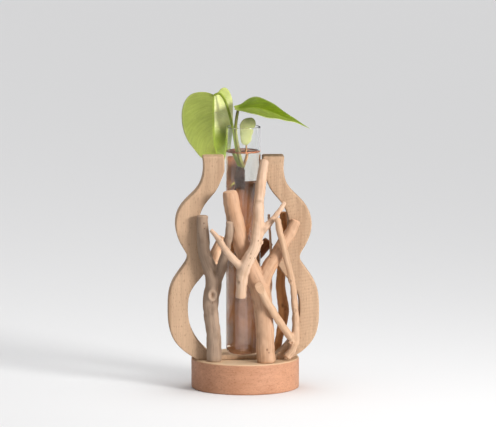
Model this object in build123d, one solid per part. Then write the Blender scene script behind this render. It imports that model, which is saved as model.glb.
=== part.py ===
"""Propagation vase: a driftwood stand that holds a test tube with a plant cutting.

A board cut as a gourd outline stands upright on a round disc. Its neck is slotted, and a glass
tube drops through the slot and stands on the board's bottom band. Forked driftwood sticks are
glued to the board's two faces. The cutting hangs in the tube by its leaf stalks.

Frame: millimetres, origin in the middle of the disc's underside, +Z up, front towards -Y.
"""
import os

from build123d import *

# Disc
disc_diameter = 78.0
disc_height = 22.0
disc_edge_round = 1.2

# Gourd board, cut from one plank
board_height = 148.0
belly_half_width = 54.5
board_thickness = 14.4
board_shift_x = -1.8
board_shift_y = -7.2
board_edge_round = 1.2
bottom_band = 3.5

# Glass tube
tube_diameter = 25.0
tube_length = 165.0
tube_wall = 1.2
tube_corner_radius = 5.0
slot_clearance = 1.25
seat_clearance = 0.3

# Glue lines and running gaps between sticks, board and tube
glue_gap = 0.3
tube_gap = 0.6

# Screws from under the disc into the board's foot
screw_diameter = 3.5
screw_head_diameter = 7.0
screw_head_depth = 2.6
screw_sink = 0.6
screw_bite = 6.0
screw_hole_clearance = 0.15
screw_place_share = 0.53

# Thickness of each stick at its stoutest
grey_girth = 11.6
main_girth = 13.4
cream_girth = 9.2
vee_girth = 7.6
branch_girth = 8.4
twig_girth = 2.8
upright_girth = 12.6
brace_girth = 11.0

# Sections along each stick, stem and stalk, and along each leaf
limb_sections = 12
leaf_sections = 12

# Cutting. Its stalks rise to clear the board by leaf_rise where the tube ends too low for that, and
# a leaf's midrib lags behind its edges by the power midrib_pace
leaf_rise = 16.0
leaf_thickness = 0.7
midrib_pace = 1.35
leaf_start_share = 0.02
leaf_end_share = 0.985
large_leaf_length = 50.0
large_leaf_gap = 5.6
right_leaf_length = 56.0
right_leaf_tilt = 15.0
right_leaf_droop = 18.0
small_leaf_length = 20.0
stem_girth = 5.0
large_petiole_girth = 2.2
right_petiole_girth = 2.4
small_petiole_girth = 1.6
root_girth = 1.5

# Outer half outline of the board: across as shares of belly_half_width, up as shares of board_height
outer_outline_shares = [
    (0.61, 0.0), (0.81, 0.05), (0.94, 0.11), (1.0, 0.25), (0.96, 0.365), (0.80, 0.46), (0.745, 0.503),
    (0.80, 0.55), (0.90, 0.66), (0.865, 0.73), (0.745, 0.79), (0.595, 0.85), (0.53, 0.93), (0.54, 1.0),
]
# Inner half outline: across as shares of the way from the slot's wall to belly_half_width
inner_outline_shares = [
    (0.065, 0.88), (0.155, 0.83), (0.29, 0.785), (0.425, 0.72), (0.45, 0.66), (0.37, 0.58), (0.24, 0.51),
    (0.29, 0.455), (0.465, 0.39), (0.60, 0.335), (0.65, 0.255), (0.585, 0.15), (0.37, 0.06),
]
slot_foot_share = 0.925
band_half_share = 0.42

# Front sticks: across, up, girth, and how far forward of the board's face towards the outer layer
grey_trunk_shares = [
    (-0.40, 0.0, 0.94, 0.0), (-0.41, 0.15, 0.91, 0.0), (-0.44, 0.30, 1.0, 0.0), (-0.41, 0.415, 1.0, 0.0),
    (-0.50, 0.50, 0.83, 0.0), (-0.54, 0.60, 0.78, 0.0), (-0.55, 0.715, 0.74, 0.0),
]
grey_arm_shares = [
    (-0.41, 0.36, 0.72, 0.0), (-0.31, 0.45, 0.66, 0.40), (-0.255, 0.54, 0.57, 1.10),
    (-0.215, 0.64, 0.52, 1.85), (-0.205, 0.70, 0.46, 2.06),
]
main_trunk_shares = [
    (0.285, 0.0, 1.0, 1.0), (0.262, 0.173, 1.0, 1.0), (0.233, 0.294, 1.03, 1.0), (0.19, 0.373, 1.04, 1.0),
    (0.111, 0.446, 0.96, 1.0), (0.025, 0.515, 0.92, 1.0), (-0.057, 0.604, 0.90, 1.0),
    (-0.14, 0.727, 0.88, 1.0),
    (-0.19, 0.82, 0.86, 1.0), (-0.198, 0.841, 0.72, 1.0),
]
main_arm_shares = [
    (0.217, 0.358, 0.80, 1.0), (0.31, 0.46, 0.80, 0.86), (0.418, 0.522, 0.74, 0.59),
    (0.519, 0.578, 0.70, 0.28),
    (0.607, 0.628, 0.64, 0.06), (0.687, 0.688, 0.54, 0.03),
]
cream_stem_shares = [
    (-0.059, 0.33, 0.84, 1.0), (-0.051, 0.385, 0.86, 1.03), (-0.03, 0.46, 1.0, 1.02),
    (0.021, 0.508, 0.98, 1.0),
    (0.099, 0.556, 0.95, 0.95), (0.164, 0.64, 0.95, 0.70), (0.185, 0.728, 0.86, 0.48),
    (0.20, 0.82, 0.84, 0.30),
    (0.235, 0.91, 0.80, 0.13), (0.27, 0.985, 0.70, 0.0),
]
cream_arm_shares = [
    (-0.026, 0.469, 0.72, 1.08), (-0.104, 0.498, 0.66, 1.10), (-0.202, 0.536, 0.58, 1.18),
    (-0.315, 0.598, 0.52, 1.08), (-0.451, 0.659, 0.36, 0.90),
]
cream_twig_shares = [
    (0.172, 0.62, 0.66, 0.76), (0.26, 0.662, 0.60, 0.65), (0.362, 0.697, 0.46, 0.50),
    (0.458, 0.738, 0.40, 0.33),
    (0.54, 0.779, 0.34, 0.19),
]
vee_trunk_shares = [
    (0.676, 0.078, 0.86, 0.05), (0.683, 0.166, 0.74, 0.15), (0.673, 0.244, 0.66, 0.27),
    (0.647, 0.355, 0.61, 0.41),
    (0.572, 0.482, 0.61, 0.68), (0.48, 0.609, 0.66, 0.80), (0.421, 0.714, 0.60, 0.85),
]
vee_arm_shares = [
    (0.671, 0.088, 0.72, 0.08), (0.522, 0.166, 0.74, 0.48), (0.401, 0.238, 0.74, 0.84),
    (0.288, 0.305, 0.76, 1.04),
    (0.199, 0.37, 0.80, 1.08), (0.16, 0.403, 0.76, 1.10),
]
vee_foot_shares = [(0.676, 0.088, 0.74, 0.08), (0.634, 0.049, 0.76, 0.09), (0.56, 0.016, 0.80, 0.11)]

# Rear sticks: the same, with how far back from the board's rear face towards the layer behind the tube
branch_shares = [
    (0.45, 0.0, 0.60, 0.0), (0.51, 0.125, 0.74, 0.0), (0.55, 0.215, 1.0, 0.0), (0.51, 0.32, 0.86, 0.0),
    (0.52, 0.42, 0.76, 0.0), (0.55, 0.57, 0.69, 0.0), (0.54, 0.71, 0.64, 0.0),
]
twig_shares = [
    (0.36, 0.0, 1.0, 0.4), (0.37, 0.225, 0.93, 0.4), (0.38, 0.46, 0.86, 0.4), (0.35, 0.70, 0.86, 0.4),
]
upright_shares = [
    (0.01, 0.0, 1.0, 1.0), (0.01, 0.30, 0.98, 1.0), (0.0, 0.58, 0.97, 1.0), (0.01, 0.855, 0.92, 1.0),
]
upright_arm_shares = [(0.0, 0.385, 0.72, 1.0), (0.17, 0.48, 0.70, 1.0), (0.36, 0.56, 0.64, 1.0)]
upright_top_shares = [
    (0.0, 0.70, 0.70, 1.0), (-0.04, 0.80, 0.66, 1.0), (-0.073, 0.90, 0.62, 1.0), (-0.075, 0.985, 0.60, 1.0),
]
# The brace's across starts beside the upright stick that it meets behind the tube
brace_shares = [(0.0, 0.572, 1.0, 1.35), (-0.12, 0.489, 1.0, 0.85), (-0.24, 0.40, 0.95, 0.0)]

# Cutting: across and back from the tube's axis as shares of its bore radius, up as shares of its length
stem_shares = [
    (-0.12, 0.20, 0.73, 0.70), (-0.14, 0.20, 0.76, 1.0), (-0.12, 0.20, 0.79, 0.95), (-0.10, 0.20, 0.82, 0.66),
]
large_petiole_shares = [
    (-0.14, 0.20, 0.8235, 0.90), (-0.40, 0.38, 0.89, 1.0), (-0.67, 0.57, 1.0, 0.95),
    (-0.97, 0.75, 1.078, 0.85), (-1.22, 0.90, 1.12, 0.80), (-1.50, 1.0, 1.137, 0.75),
    (-1.79, 1.04, 1.130, 0.70),
]
right_petiole_shares = [
    (0.0, 0.02, 0.8235, 0.90), (-0.28, 0.0, 0.895, 1.0), (-0.48, 0.0, 1.0, 0.95), (-0.33, -0.07, 1.072, 0.85),
]
small_petiole_shares = [(0.02, 0.34, 0.8235, 0.90), (0.20, 0.34, 0.885, 0.90), (0.22, 0.34, 0.915, 0.75)]
root_shares = [(-0.40, 0.16, 0.752, 1.0), (-0.52, 0.10, 0.745, 0.9), (-0.66, 0.05, 0.735, 0.5)]

# Each leaf's midrib and two edges from the stalk to the tip, as shares of the leaf's length. The large
# leaf's run right, up and towards the front, the others' along the leaf, across it and up from its face
large_midrib_shares = [
    (0.0, 0.0, 0.0), (-0.008, -0.15, 0.012), (-0.008, -0.366, 0.02), (-0.004, -0.586, 0.012),
    (0.022, -0.808, -0.016), (0.138, -1.004, -0.046),
]
large_left_shares = [
    (0.0, 0.0, 0.0), (-0.086, 0.028, -0.046), (-0.198, 0.034, -0.076), (-0.312, 0.008, -0.106),
    (-0.398, -0.07, -0.136), (-0.446, -0.19, -0.156), (-0.464, -0.336, -0.156), (-0.45, -0.48, -0.146),
    (-0.412, -0.596, -0.136), (-0.356, -0.708, -0.116), (-0.27, -0.822, -0.096), (-0.17, -0.928, -0.076),
    (-0.028, -0.984, -0.056), (0.138, -1.004, -0.046),
]
large_right_shares = [
    (0.0, 0.0, 0.0), (0.038, 0.002, -0.076), (0.078, 0.032, -0.136), (0.144, 0.084, -0.176),
    (0.196, 0.066, -0.196), (0.24, -0.008, -0.206), (0.268, -0.126, -0.206), (0.278, -0.254, -0.196),
    (0.268, -0.398, -0.176), (0.244, -0.54, -0.156), (0.214, -0.682, -0.136), (0.184, -0.822, -0.096),
    (0.138, -1.004, -0.046),
]
right_midrib_shares = [
    (0.0, 0.0, 0.0), (0.06, 0.004, 0.012), (0.15, 0.012, 0.052), (0.28, 0.022, 0.087), (0.41, 0.025, 0.095),
    (0.55, 0.023, 0.086), (0.69, 0.019, 0.072), (0.83, 0.016, 0.061), (0.99, 0.01, 0.037),
]
right_far_shares = [
    (0.0, 0.0, 0.0), (-0.022, 0.045, 0.0), (0.0, 0.085, 0.002), (0.065, 0.151, 0.02), (0.107, 0.217, 0.053),
    (0.162, 0.282, 0.087), (0.234, 0.308, 0.116), (0.311, 0.311, 0.126), (0.421, 0.291, 0.121),
    (0.54, 0.247, 0.095), (0.655, 0.188, 0.082), (0.758, 0.126, 0.067), (0.87, 0.068, 0.055),
    (0.99, 0.01, 0.037),
]
right_near_shares = [
    (0.0, 0.0, 0.0), (-0.01, -0.045, 0.0), (0.035, -0.085, 0.012), (0.1, -0.135, 0.042),
    (0.207, -0.219, 0.081),
    (0.337, -0.251, 0.098), (0.443, -0.231, 0.103), (0.577, -0.176, 0.103), (0.715, -0.087, 0.088),
    (0.853, -0.018, 0.065), (0.99, 0.01, 0.037),
]
small_midrib_shares = [
    (0.0, 0.0, 0.0), (0.21, -0.095, -0.02), (0.51, -0.165, -0.005), (0.78, -0.185, 0.01), (1.0, -0.20, 0.0),
]
small_left_shares = [
    (0.0, 0.0, 0.0), (0.05, 0.14, 0.02), (0.25, 0.21, 0.04), (0.62, 0.24, 0.09), (0.86, 0.19, 0.10),
    (0.98, 0.02, 0.06), (1.0, -0.20, 0.0),
]
small_right_shares = [
    (0.0, 0.0, 0.0), (0.07, -0.11, -0.05), (0.33, -0.215, -0.11), (0.58, -0.29, -0.12), (0.86, -0.33, -0.10),
    (1.0, -0.20, 0.0),
]

# Places worked out from the sizes above
board_front = board_shift_y - board_thickness / 2
board_back = board_shift_y + board_thickness / 2
tube_radius = tube_diameter / 2
bore_radius = tube_radius - tube_wall
slot_half_width = tube_radius + slot_clearance
tube_bottom = disc_height + bottom_band + seat_clearance
front_layer = board_shift_y - tube_radius - tube_gap - main_girth / 2
rear_layer = board_shift_y + tube_radius + tube_gap
outer_layer = front_layer - main_girth / 2 - glue_gap
stalk_lift = max(0, disc_height + board_height + leaf_rise - tube_bottom - tube_length)


def on_board(across, up):
    """Turns shares of the board's half width and height into x and z."""
    return board_shift_x + across * belly_half_width, disc_height + up * board_height


def front_depth(forward, radius, layer):
    """Depth of a front stick's axis, from lying on the board's face (0) to the given layer (1)."""
    resting = board_front - glue_gap - radius
    return resting + forward * (layer - resting)


def rear_depth(backward, radius):
    """Depth of a rear stick's axis, from lying on the board's back (0) to just behind the tube (1)."""
    resting = board_back + glue_gap + radius
    return resting + backward * (rear_layer + radius - resting)


def limb(stations, flat_foot=False):
    """Smooth round branch through (place, radius) stations, with a level foot where it stands.

    The places are joined by one smooth path. Round sections stand square to it at even steps, and
    their radius runs evenly from station to station.
    """
    path = Spline(*[place for place, radius in stations])
    reached = [0.0]
    for (here, radius), (there, next_radius) in zip(stations, stations[1:]):
        reached.append(reached[-1] + (there - here).length)
    sections = []
    for step in range(limb_sections + 1):
        share = step / limb_sections
        along = Vector(0, 0, 1) if flat_foot and step == 0 else path % share
        section = Plane(origin=path @ share, x_dir=along.cross(Vector(0, 1, 0)), z_dir=along)
        sections.append(section * Circle(radius_at(stations, reached, share * reached[-1])))
    return loft(sections)


def radius_at(stations, reached, distance):
    """Radius at a distance along the stations, in even steps between the two nearest ones."""
    for number in range(1, len(stations)):
        if distance <= reached[number] or number == len(stations) - 1:
            before = stations[number - 1][1]
            share = (distance - reached[number - 1]) / (reached[number] - reached[number - 1])
            return before + share * (stations[number][1] - before)


def front_limb(shares, girth, layer=None, flat_foot=False):
    """A limb in front of the board. Its layer is the depth that the forward share reaches."""
    stations = []
    for across, up, girth_share, forward in shares:
        radius = girth_share * girth / 2
        x, z = on_board(across, up)
        reach = front_layer if layer is None else layer - radius
        stations.append((Vector(x, front_depth(forward, radius, reach), z), radius))
    return limb(stations, flat_foot)


def rear_limb(shares, girth, flat_foot=False):
    """A limb behind the board."""
    stations = []
    for across, up, girth_share, backward in shares:
        radius = girth_share * girth / 2
        x, z = on_board(across, up)
        stations.append((Vector(x, rear_depth(backward, radius), z), radius))
    return limb(stations, flat_foot)


def stalk_height(up, shares):
    """Height on a stalk. Up to the rim it follows the tube, and above it the stalk's lift is added."""
    highest = max(1.0, *[station_up for across, back, station_up, girth_share in shares])
    above_rim = (up - 1) / (highest - 1) if up > 1 else 0
    return tube_bottom + up * tube_length + above_rim * stalk_lift


def cutting_limb(shares, girth):
    """A stem, stalk or root of the cutting, placed from the tube's axis and foot."""
    stations = []
    for across, back, up, girth_share in shares:
        place = Vector(
            board_shift_x + across * bore_radius,
            board_shift_y + back * bore_radius,
            stalk_height(up, shares),
        )
        stations.append((place, girth_share * girth / 2))
    return limb(stations)


def screw_places():
    """The two screws stand on the board's middle line, under its solid shoulders."""
    offset = screw_place_share * belly_half_width
    return [(board_shift_x - offset, board_shift_y), (board_shift_x + offset, board_shift_y)]


def screw_shape(clearance=0.0):
    """Countersunk screw pointing up, or with a clearance the hole that takes it."""
    shank_radius = screw_diameter / 2 + clearance
    head_radius = screw_head_diameter / 2 + clearance
    neck = screw_sink + screw_head_depth
    top = disc_height + screw_bite + clearance
    profile = [
        (0, screw_sink), (head_radius, screw_sink), (shank_radius, neck),
        (shank_radius, top - shank_radius), (0, top),
    ]
    with BuildPart() as screw:
        with BuildSketch(Plane.XZ):
            with BuildLine():
                Polyline(*profile, close=True)
            make_face()
        revolve(axis=Axis.Z)
    return screw.part


def screw_hole():
    """The screw's hole, with a straight mouth below the head."""
    mouth_radius = screw_head_diameter / 2 + screw_hole_clearance
    mouth = Pos(0, 0, screw_sink / 2) * Cylinder(mouth_radius, screw_sink)
    return mouth + screw_shape(screw_hole_clearance)


def base_disc():
    """Round disc with softened rims and the two screw holes."""
    disc = Pos(0, 0, disc_height / 2) * Cylinder(disc_diameter / 2, disc_height)
    disc = fillet(disc.edges().filter_by(GeomType.CIRCLE), disc_edge_round)
    for x, y in screw_places():
        disc -= Pos(x, y, 0) * screw_hole()
    return disc


def board_half_face():
    """Right half of the board's outline, between its middle line and the outer edge."""
    outer = [(across * belly_half_width, up * board_height) for across, up in outer_outline_shares]
    opening = belly_half_width - slot_half_width
    inner = [(slot_half_width + across * opening, up * board_height) for across, up in inner_outline_shares]
    slot_foot = (slot_half_width, slot_foot_share * board_height)
    band_end = (band_half_share * belly_half_width, bottom_band)
    with BuildSketch() as half:
        with BuildLine():
            Spline(*outer)
            Line(outer[-1], (slot_half_width, board_height))
            Line((slot_half_width, board_height), slot_foot)
            Spline(slot_foot, *inner, band_end, tangents=[(0, -1), (-1, 0)])
            Line(band_end, (0, bottom_band))
            Line((0, bottom_band), (0, 0))
            Line((0, 0), outer[0])
        make_face()
    return half.sketch


def gourd_frame():
    """The gourd board: both halves of the outline, cut through the plank, with softened arrises."""
    half = board_half_face()
    outline = half + mirror(half, about=Plane.YZ)
    front = Plane(origin=(board_shift_x, board_front, disc_height), x_dir=(1, 0, 0), z_dir=(0, -1, 0))
    board = extrude(front * outline, -board_thickness)
    board = fillet(board.edges().filter_by(Axis.Y).group_by(Axis.Z)[-1], board_edge_round)
    faces = [board.edges().group_by(Axis.Y)[0], board.edges().group_by(Axis.Y)[-1]]
    lowest = disc_height + board_edge_round
    arrises = [edge for group in faces for edge in group if edge.center().Z > lowest]
    board = fillet(arrises, board_edge_round)
    for x, y in screw_places():
        board -= Pos(x, y, 0) * screw_hole()
    return board


def frame_screws():
    """Both screws in one node."""
    return Compound(children=[Pos(x, y, 0) * screw_shape() for x, y in screw_places()])


def test_tube():
    """Flat-bottomed glass tube with rounded bottom corners and a softened rim."""
    outside = Pos(0, 0, tube_length / 2) * Cylinder(tube_radius, tube_length)
    outside = fillet(outside.edges().filter_by(GeomType.CIRCLE).sort_by(Axis.Z)[0], tube_corner_radius)
    bore_length = tube_length - tube_wall
    bore = Pos(0, 0, tube_wall + bore_length / 2) * Cylinder(bore_radius, bore_length)
    bore = fillet(bore.edges().filter_by(GeomType.CIRCLE).sort_by(Axis.Z)[0], tube_corner_radius - tube_wall)
    tube = outside - bore
    rim = tube.edges().filter_by(GeomType.CIRCLE).group_by(Axis.Z)[-1]
    tube = fillet(rim, tube_wall / 3)
    return Pos(board_shift_x, board_shift_y, tube_bottom) * tube


def grey_fork():
    """Weathered fork that stands on the disc and lies on the board's left."""
    trunk = front_limb(grey_trunk_shares, grey_girth, flat_foot=True)
    return trunk + front_limb(grey_arm_shares, grey_girth)


def main_fork():
    """Thick fork that leans across the front of the tube, its right arm on the board's face."""
    trunk = front_limb(main_trunk_shares, main_girth, flat_foot=True)
    return trunk + front_limb(main_arm_shares, main_girth)


def cream_fork():
    """Light three-armed stick on the front of the thick fork, its top on the right of the neck."""
    stem = front_limb(cream_stem_shares, cream_girth, outer_layer)
    arm = front_limb(cream_arm_shares, cream_girth, outer_layer)
    return stem + arm + front_limb(cream_twig_shares, cream_girth, outer_layer)


def right_vee():
    """Light forked stick on the right, one arm upright and one crossing the thick fork, on a short foot."""
    trunk = front_limb(vee_trunk_shares, vee_girth, outer_layer)
    arm = front_limb(vee_arm_shares, vee_girth, outer_layer)
    return trunk + arm + front_limb(vee_foot_shares, vee_girth, outer_layer)


def rear_branch():
    """Knotty branch on the board's back, right of the tube."""
    return rear_limb(branch_shares, branch_girth, flat_foot=True)


def rear_twig():
    """Thin twig that stands beside the tube."""
    return rear_limb(twig_shares, twig_girth, flat_foot=True)


def rear_upright():
    """Stout stick behind the tube, with a short sawn arm on its right and a thinner top."""
    trunk = rear_limb(upright_shares, upright_girth, flat_foot=True)
    arm = rear_limb(upright_arm_shares, upright_girth)
    return trunk + arm + rear_limb(upright_top_shares, upright_girth)


def rear_brace():
    """Diagonal stick from the side of the stick behind the tube to the board's left waist."""
    beside_upright = (upright_girth + brace_girth) / 2 / belly_half_width
    shares = [(across - beside_upright, up, share, backward) for across, up, share, backward in brace_shares]
    return rear_limb(shares, brace_girth)


def leaf_half(midrib, edge, thickness):
    """Half of a blade: the ruled sheet between the midrib and one edge line, as thick as given along +Z."""
    return extrude(Face.make_surface_from_curves(midrib, edge), thickness, dir=(0, 0, 1))


def leaf_blade(left_shares, midrib_shares, right_shares, length, thickness):
    """Curved blade of two halves that meet in a fold on the midrib.

    The lines are given as shares of the blade's length. All three are run at the same pace from the
    stalk to the tip, so that the halves are ruled straight across from the midrib to the edges.
    """
    left, midrib, right = [
        Spline(*[Vector(*place) * length for place in shares])
        for shares in (left_shares, midrib_shares, right_shares)
    ]
    reach = leaf_end_share - leaf_start_share
    paces = [leaf_start_share + reach * step / leaf_sections for step in range(leaf_sections + 1)]
    fold = Edge.make_spline([midrib @ pace ** midrib_pace for pace in paces], parameters=paces)
    halves = [
        leaf_half(fold, Edge.make_spline([edge @ pace for pace in paces], parameters=paces), thickness)
        for edge in (left, right)
    ]
    return halves[0] + halves[1]


def large_leaf():
    """Drooping heart-shaped blade behind the left of the neck, folded along its midrib."""
    across, back, up, girth_share = large_petiole_shares[-1]
    behind_stalk = board_shift_y + back * bore_radius + girth_share * large_petiole_girth / 2 + glue_gap
    joint = (
        board_shift_x + across * bore_radius,
        max(behind_stalk, board_back + large_leaf_gap),
        stalk_height(up, large_petiole_shares),
    )
    facing = Plane(origin=joint, x_dir=(1, 0, 0), z_dir=(0, -1, 0))
    lines = [large_left_shares, large_midrib_shares, large_right_shares]
    return facing * leaf_blade(*lines, large_leaf_length, -leaf_thickness)


def right_leaf():
    """Arched blade that points right and droops, its upper side leaning towards the front."""
    across, back, up, girth_share = right_petiole_shares[-1]
    radius = girth_share * right_petiole_girth / 2
    place = Pos(
        board_shift_x + across * bore_radius - 2 * radius,
        board_shift_y + back * bore_radius,
        stalk_height(up, right_petiole_shares) + glue_gap + radius,
    )
    turned = place * Rot(0, right_leaf_droop, 0) * Rot(right_leaf_tilt, 0, 0)
    lines = [right_far_shares, right_midrib_shares, right_near_shares]
    return turned * leaf_blade(*lines, right_leaf_length, leaf_thickness)


def small_leaf():
    """Pale young blade standing in the tube's mouth, slightly cupped."""
    across, back, up, girth_share = small_petiole_shares[-1]
    radius = girth_share * small_petiole_girth / 2
    foot = (
        board_shift_x + across * bore_radius,
        board_shift_y + back * bore_radius - radius - glue_gap,
        stalk_height(up, small_petiole_shares),
    )
    facing = Plane(origin=foot, x_dir=(0, 0, 1), z_dir=(0, -1, 0))
    lines = [small_left_shares, small_midrib_shares, small_right_shares]
    return facing * leaf_blade(*lines, small_leaf_length, leaf_thickness)


pieces = {
    "base_disc": base_disc,
    "gourd_frame": gourd_frame,
    "frame_screws": frame_screws,
    "test_tube": test_tube,
    "grey_fork": grey_fork,
    "main_fork": main_fork,
    "cream_fork": cream_fork,
    "right_vee": right_vee,
    "rear_branch": rear_branch,
    "rear_twig": rear_twig,
    "rear_upright": rear_upright,
    "rear_brace": rear_brace,
    "cutting_stem": lambda: cutting_limb(stem_shares, stem_girth),
    "large_petiole": lambda: cutting_limb(large_petiole_shares, large_petiole_girth),
    "right_petiole": lambda: cutting_limb(right_petiole_shares, right_petiole_girth),
    "small_petiole": lambda: cutting_limb(small_petiole_shares, small_petiole_girth),
    "root_tip": lambda: cutting_limb(root_shares, root_girth),
    "large_leaf": large_leaf,
    "right_leaf": right_leaf,
    "small_leaf": small_leaf,
}

os.makedirs("parts", exist_ok=True)
for name, build in pieces.items():
    export_step(build(), f"parts/{name}.step")
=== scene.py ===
import math

import bpy
import numpy as np
from bpy.props import FloatProperty, FloatVectorProperty, IntProperty, PointerProperty
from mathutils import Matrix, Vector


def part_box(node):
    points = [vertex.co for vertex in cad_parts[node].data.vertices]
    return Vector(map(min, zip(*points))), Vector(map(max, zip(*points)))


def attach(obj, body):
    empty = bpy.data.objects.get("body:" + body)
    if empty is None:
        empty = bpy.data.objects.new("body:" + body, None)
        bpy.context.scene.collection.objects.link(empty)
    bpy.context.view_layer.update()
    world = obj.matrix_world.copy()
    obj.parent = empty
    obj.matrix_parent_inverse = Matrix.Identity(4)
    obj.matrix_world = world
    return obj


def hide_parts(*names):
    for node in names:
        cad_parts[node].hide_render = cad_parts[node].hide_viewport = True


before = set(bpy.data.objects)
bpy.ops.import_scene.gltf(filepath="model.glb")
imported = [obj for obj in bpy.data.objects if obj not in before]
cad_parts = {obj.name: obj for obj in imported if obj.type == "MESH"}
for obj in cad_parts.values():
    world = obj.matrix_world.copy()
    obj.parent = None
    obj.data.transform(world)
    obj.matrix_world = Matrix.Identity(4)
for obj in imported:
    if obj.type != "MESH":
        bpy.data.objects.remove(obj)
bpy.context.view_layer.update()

bl_info = {
    "name": "Propagation vase",
    "version": (1, 0, 0),
    "blender": (4, 5, 0),
    "location": "3D View > Sidebar > Vase",
    "description": "Dresses the packed vase: driftwood, gourd board, glass, water and a plant cutting",
    "category": "Object",
}

MILLIMETRE = 0.001
NO_TRIANGLES = np.zeros((0, 3), int)


def corners(node):
    """Lowest and highest corner of a CAD node, in millimetres."""
    low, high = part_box(node)
    return np.array(low) / MILLIMETRE, np.array(high) / MILLIMETRE


disc_low, disc_high = corners("base_disc")
board_low, board_high = corners("gourd_frame")
tube_low, tube_high = corners("test_tube")

# All sizes are in millimetres
disc_radius = (disc_high[0] - disc_low[0]) / 2
disc_top = disc_high[2]
edge_round = 1.2
# How far past a rounded edge, and past the tube's bend, the next points stand
past_round = 0.4
past_bend = 2.0
board_middle = (board_low[0] + board_high[0]) / 2
belly_half_width = (board_high[0] - board_low[0]) / 2
board_height = board_high[2] - board_low[2]
board_front = board_low[1]
board_back = board_high[1]
board_depth = (board_front + board_back) / 2
half_thickness = (board_back - board_front) / 2
tube_middle = (tube_low + tube_high) / 2
tube_radius = (tube_high[0] - tube_low[0]) / 2
tube_bottom = tube_low[2]
tube_length = tube_high[2] - tube_low[2]
tube_wall = 1.2
tube_corner = 5.0
bore_radius = tube_radius - tube_wall
slot_clearance = 1.25
slot_half_width = tube_radius + slot_clearance
seat_clearance = 0.3
bottom_band = tube_bottom - disc_top - seat_clearance
glue_gap = 0.3
tube_gap = 0.6
girths = {
    "grey": 11.6, "main": 13.4, "cream": 9.2, "vee": 7.6,
    "branch": 8.4, "twig": 2.8, "upright": 12.6, "brace": 11.0,
}
front_layer = board_depth - tube_radius - tube_gap - girths["main"] / 2
rear_layer = board_depth + tube_radius + tube_gap
outer_layer = front_layer - girths["main"] / 2 - glue_gap

# The board's half outlines, as shares of its half width and height
outer_outline = [
    (0.61, 0.0), (0.81, 0.05), (0.94, 0.11), (1.0, 0.25), (0.96, 0.365), (0.80, 0.46), (0.745, 0.503),
    (0.80, 0.55), (0.90, 0.66), (0.865, 0.73), (0.745, 0.79), (0.595, 0.85), (0.53, 0.93), (0.54, 1.0),
]
inner_outline = [
    (0.065, 0.88), (0.155, 0.83), (0.29, 0.785), (0.425, 0.72), (0.45, 0.66), (0.37, 0.58), (0.24, 0.51),
    (0.29, 0.455), (0.465, 0.39), (0.60, 0.335), (0.65, 0.255), (0.585, 0.15), (0.37, 0.06),
]

# Sticks: across and up on the board, girth share, and how far forward or back they stand
front_sticks = {
    "grey": [
        [(-0.40, 0.0, 0.94, 0.0), (-0.41, 0.15, 0.91, 0.0), (-0.44, 0.30, 1.0, 0.0),
         (-0.41, 0.415, 1.0, 0.0), (-0.50, 0.50, 0.83, 0.0), (-0.54, 0.60, 0.78, 0.0),
         (-0.55, 0.715, 0.74, 0.0)],
        [(-0.41, 0.36, 0.72, 0.0), (-0.31, 0.45, 0.66, 0.40), (-0.255, 0.54, 0.57, 1.10),
         (-0.215, 0.64, 0.52, 1.85), (-0.205, 0.70, 0.46, 2.06)],
    ],
    "main": [
        [(0.285, 0.0, 1.0, 1.0), (0.262, 0.173, 1.0, 1.0), (0.233, 0.294, 1.03, 1.0),
         (0.19, 0.373, 1.04, 1.0), (0.111, 0.446, 0.96, 1.0), (0.025, 0.515, 0.92, 1.0),
         (-0.057, 0.604, 0.90, 1.0), (-0.14, 0.727, 0.88, 1.0), (-0.19, 0.82, 0.86, 1.0),
         (-0.198, 0.841, 0.72, 1.0)],
        [(0.217, 0.358, 0.80, 1.0), (0.31, 0.46, 0.80, 0.86), (0.418, 0.522, 0.74, 0.59),
         (0.519, 0.578, 0.70, 0.28), (0.607, 0.628, 0.64, 0.06), (0.687, 0.688, 0.54, 0.03)],
    ],
    "cream": [
        [(-0.059, 0.33, 0.84, 1.0), (-0.051, 0.385, 0.86, 1.03), (-0.03, 0.46, 1.0, 1.02),
         (0.021, 0.508, 0.98, 1.0), (0.099, 0.556, 0.95, 0.95), (0.164, 0.64, 0.95, 0.70),
         (0.185, 0.728, 0.86, 0.48), (0.20, 0.82, 0.84, 0.30), (0.235, 0.91, 0.80, 0.13),
         (0.27, 0.985, 0.70, 0.0)],
        [(-0.026, 0.469, 0.72, 1.08), (-0.104, 0.498, 0.66, 1.10), (-0.202, 0.536, 0.58, 1.18),
         (-0.315, 0.598, 0.52, 1.08), (-0.451, 0.659, 0.36, 0.90)],
        [(0.172, 0.62, 0.66, 0.76), (0.26, 0.662, 0.60, 0.65), (0.362, 0.697, 0.46, 0.50),
         (0.458, 0.738, 0.40, 0.33), (0.54, 0.779, 0.34, 0.19)],
    ],
    "vee": [
        [(0.676, 0.078, 0.86, 0.05), (0.683, 0.166, 0.74, 0.15), (0.673, 0.244, 0.66, 0.27),
         (0.647, 0.355, 0.61, 0.41), (0.572, 0.482, 0.61, 0.68), (0.48, 0.609, 0.66, 0.80),
         (0.421, 0.714, 0.60, 0.85)],
        [(0.671, 0.088, 0.72, 0.08), (0.522, 0.166, 0.74, 0.48), (0.401, 0.238, 0.74, 0.84),
         (0.288, 0.305, 0.76, 1.04), (0.199, 0.37, 0.80, 1.08), (0.16, 0.403, 0.76, 1.10)],
        [(0.676, 0.088, 0.74, 0.08), (0.634, 0.049, 0.76, 0.09), (0.56, 0.016, 0.80, 0.11)],
    ],
}
brace_side = -(girths["upright"] + girths["brace"]) / 2 / belly_half_width
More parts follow.
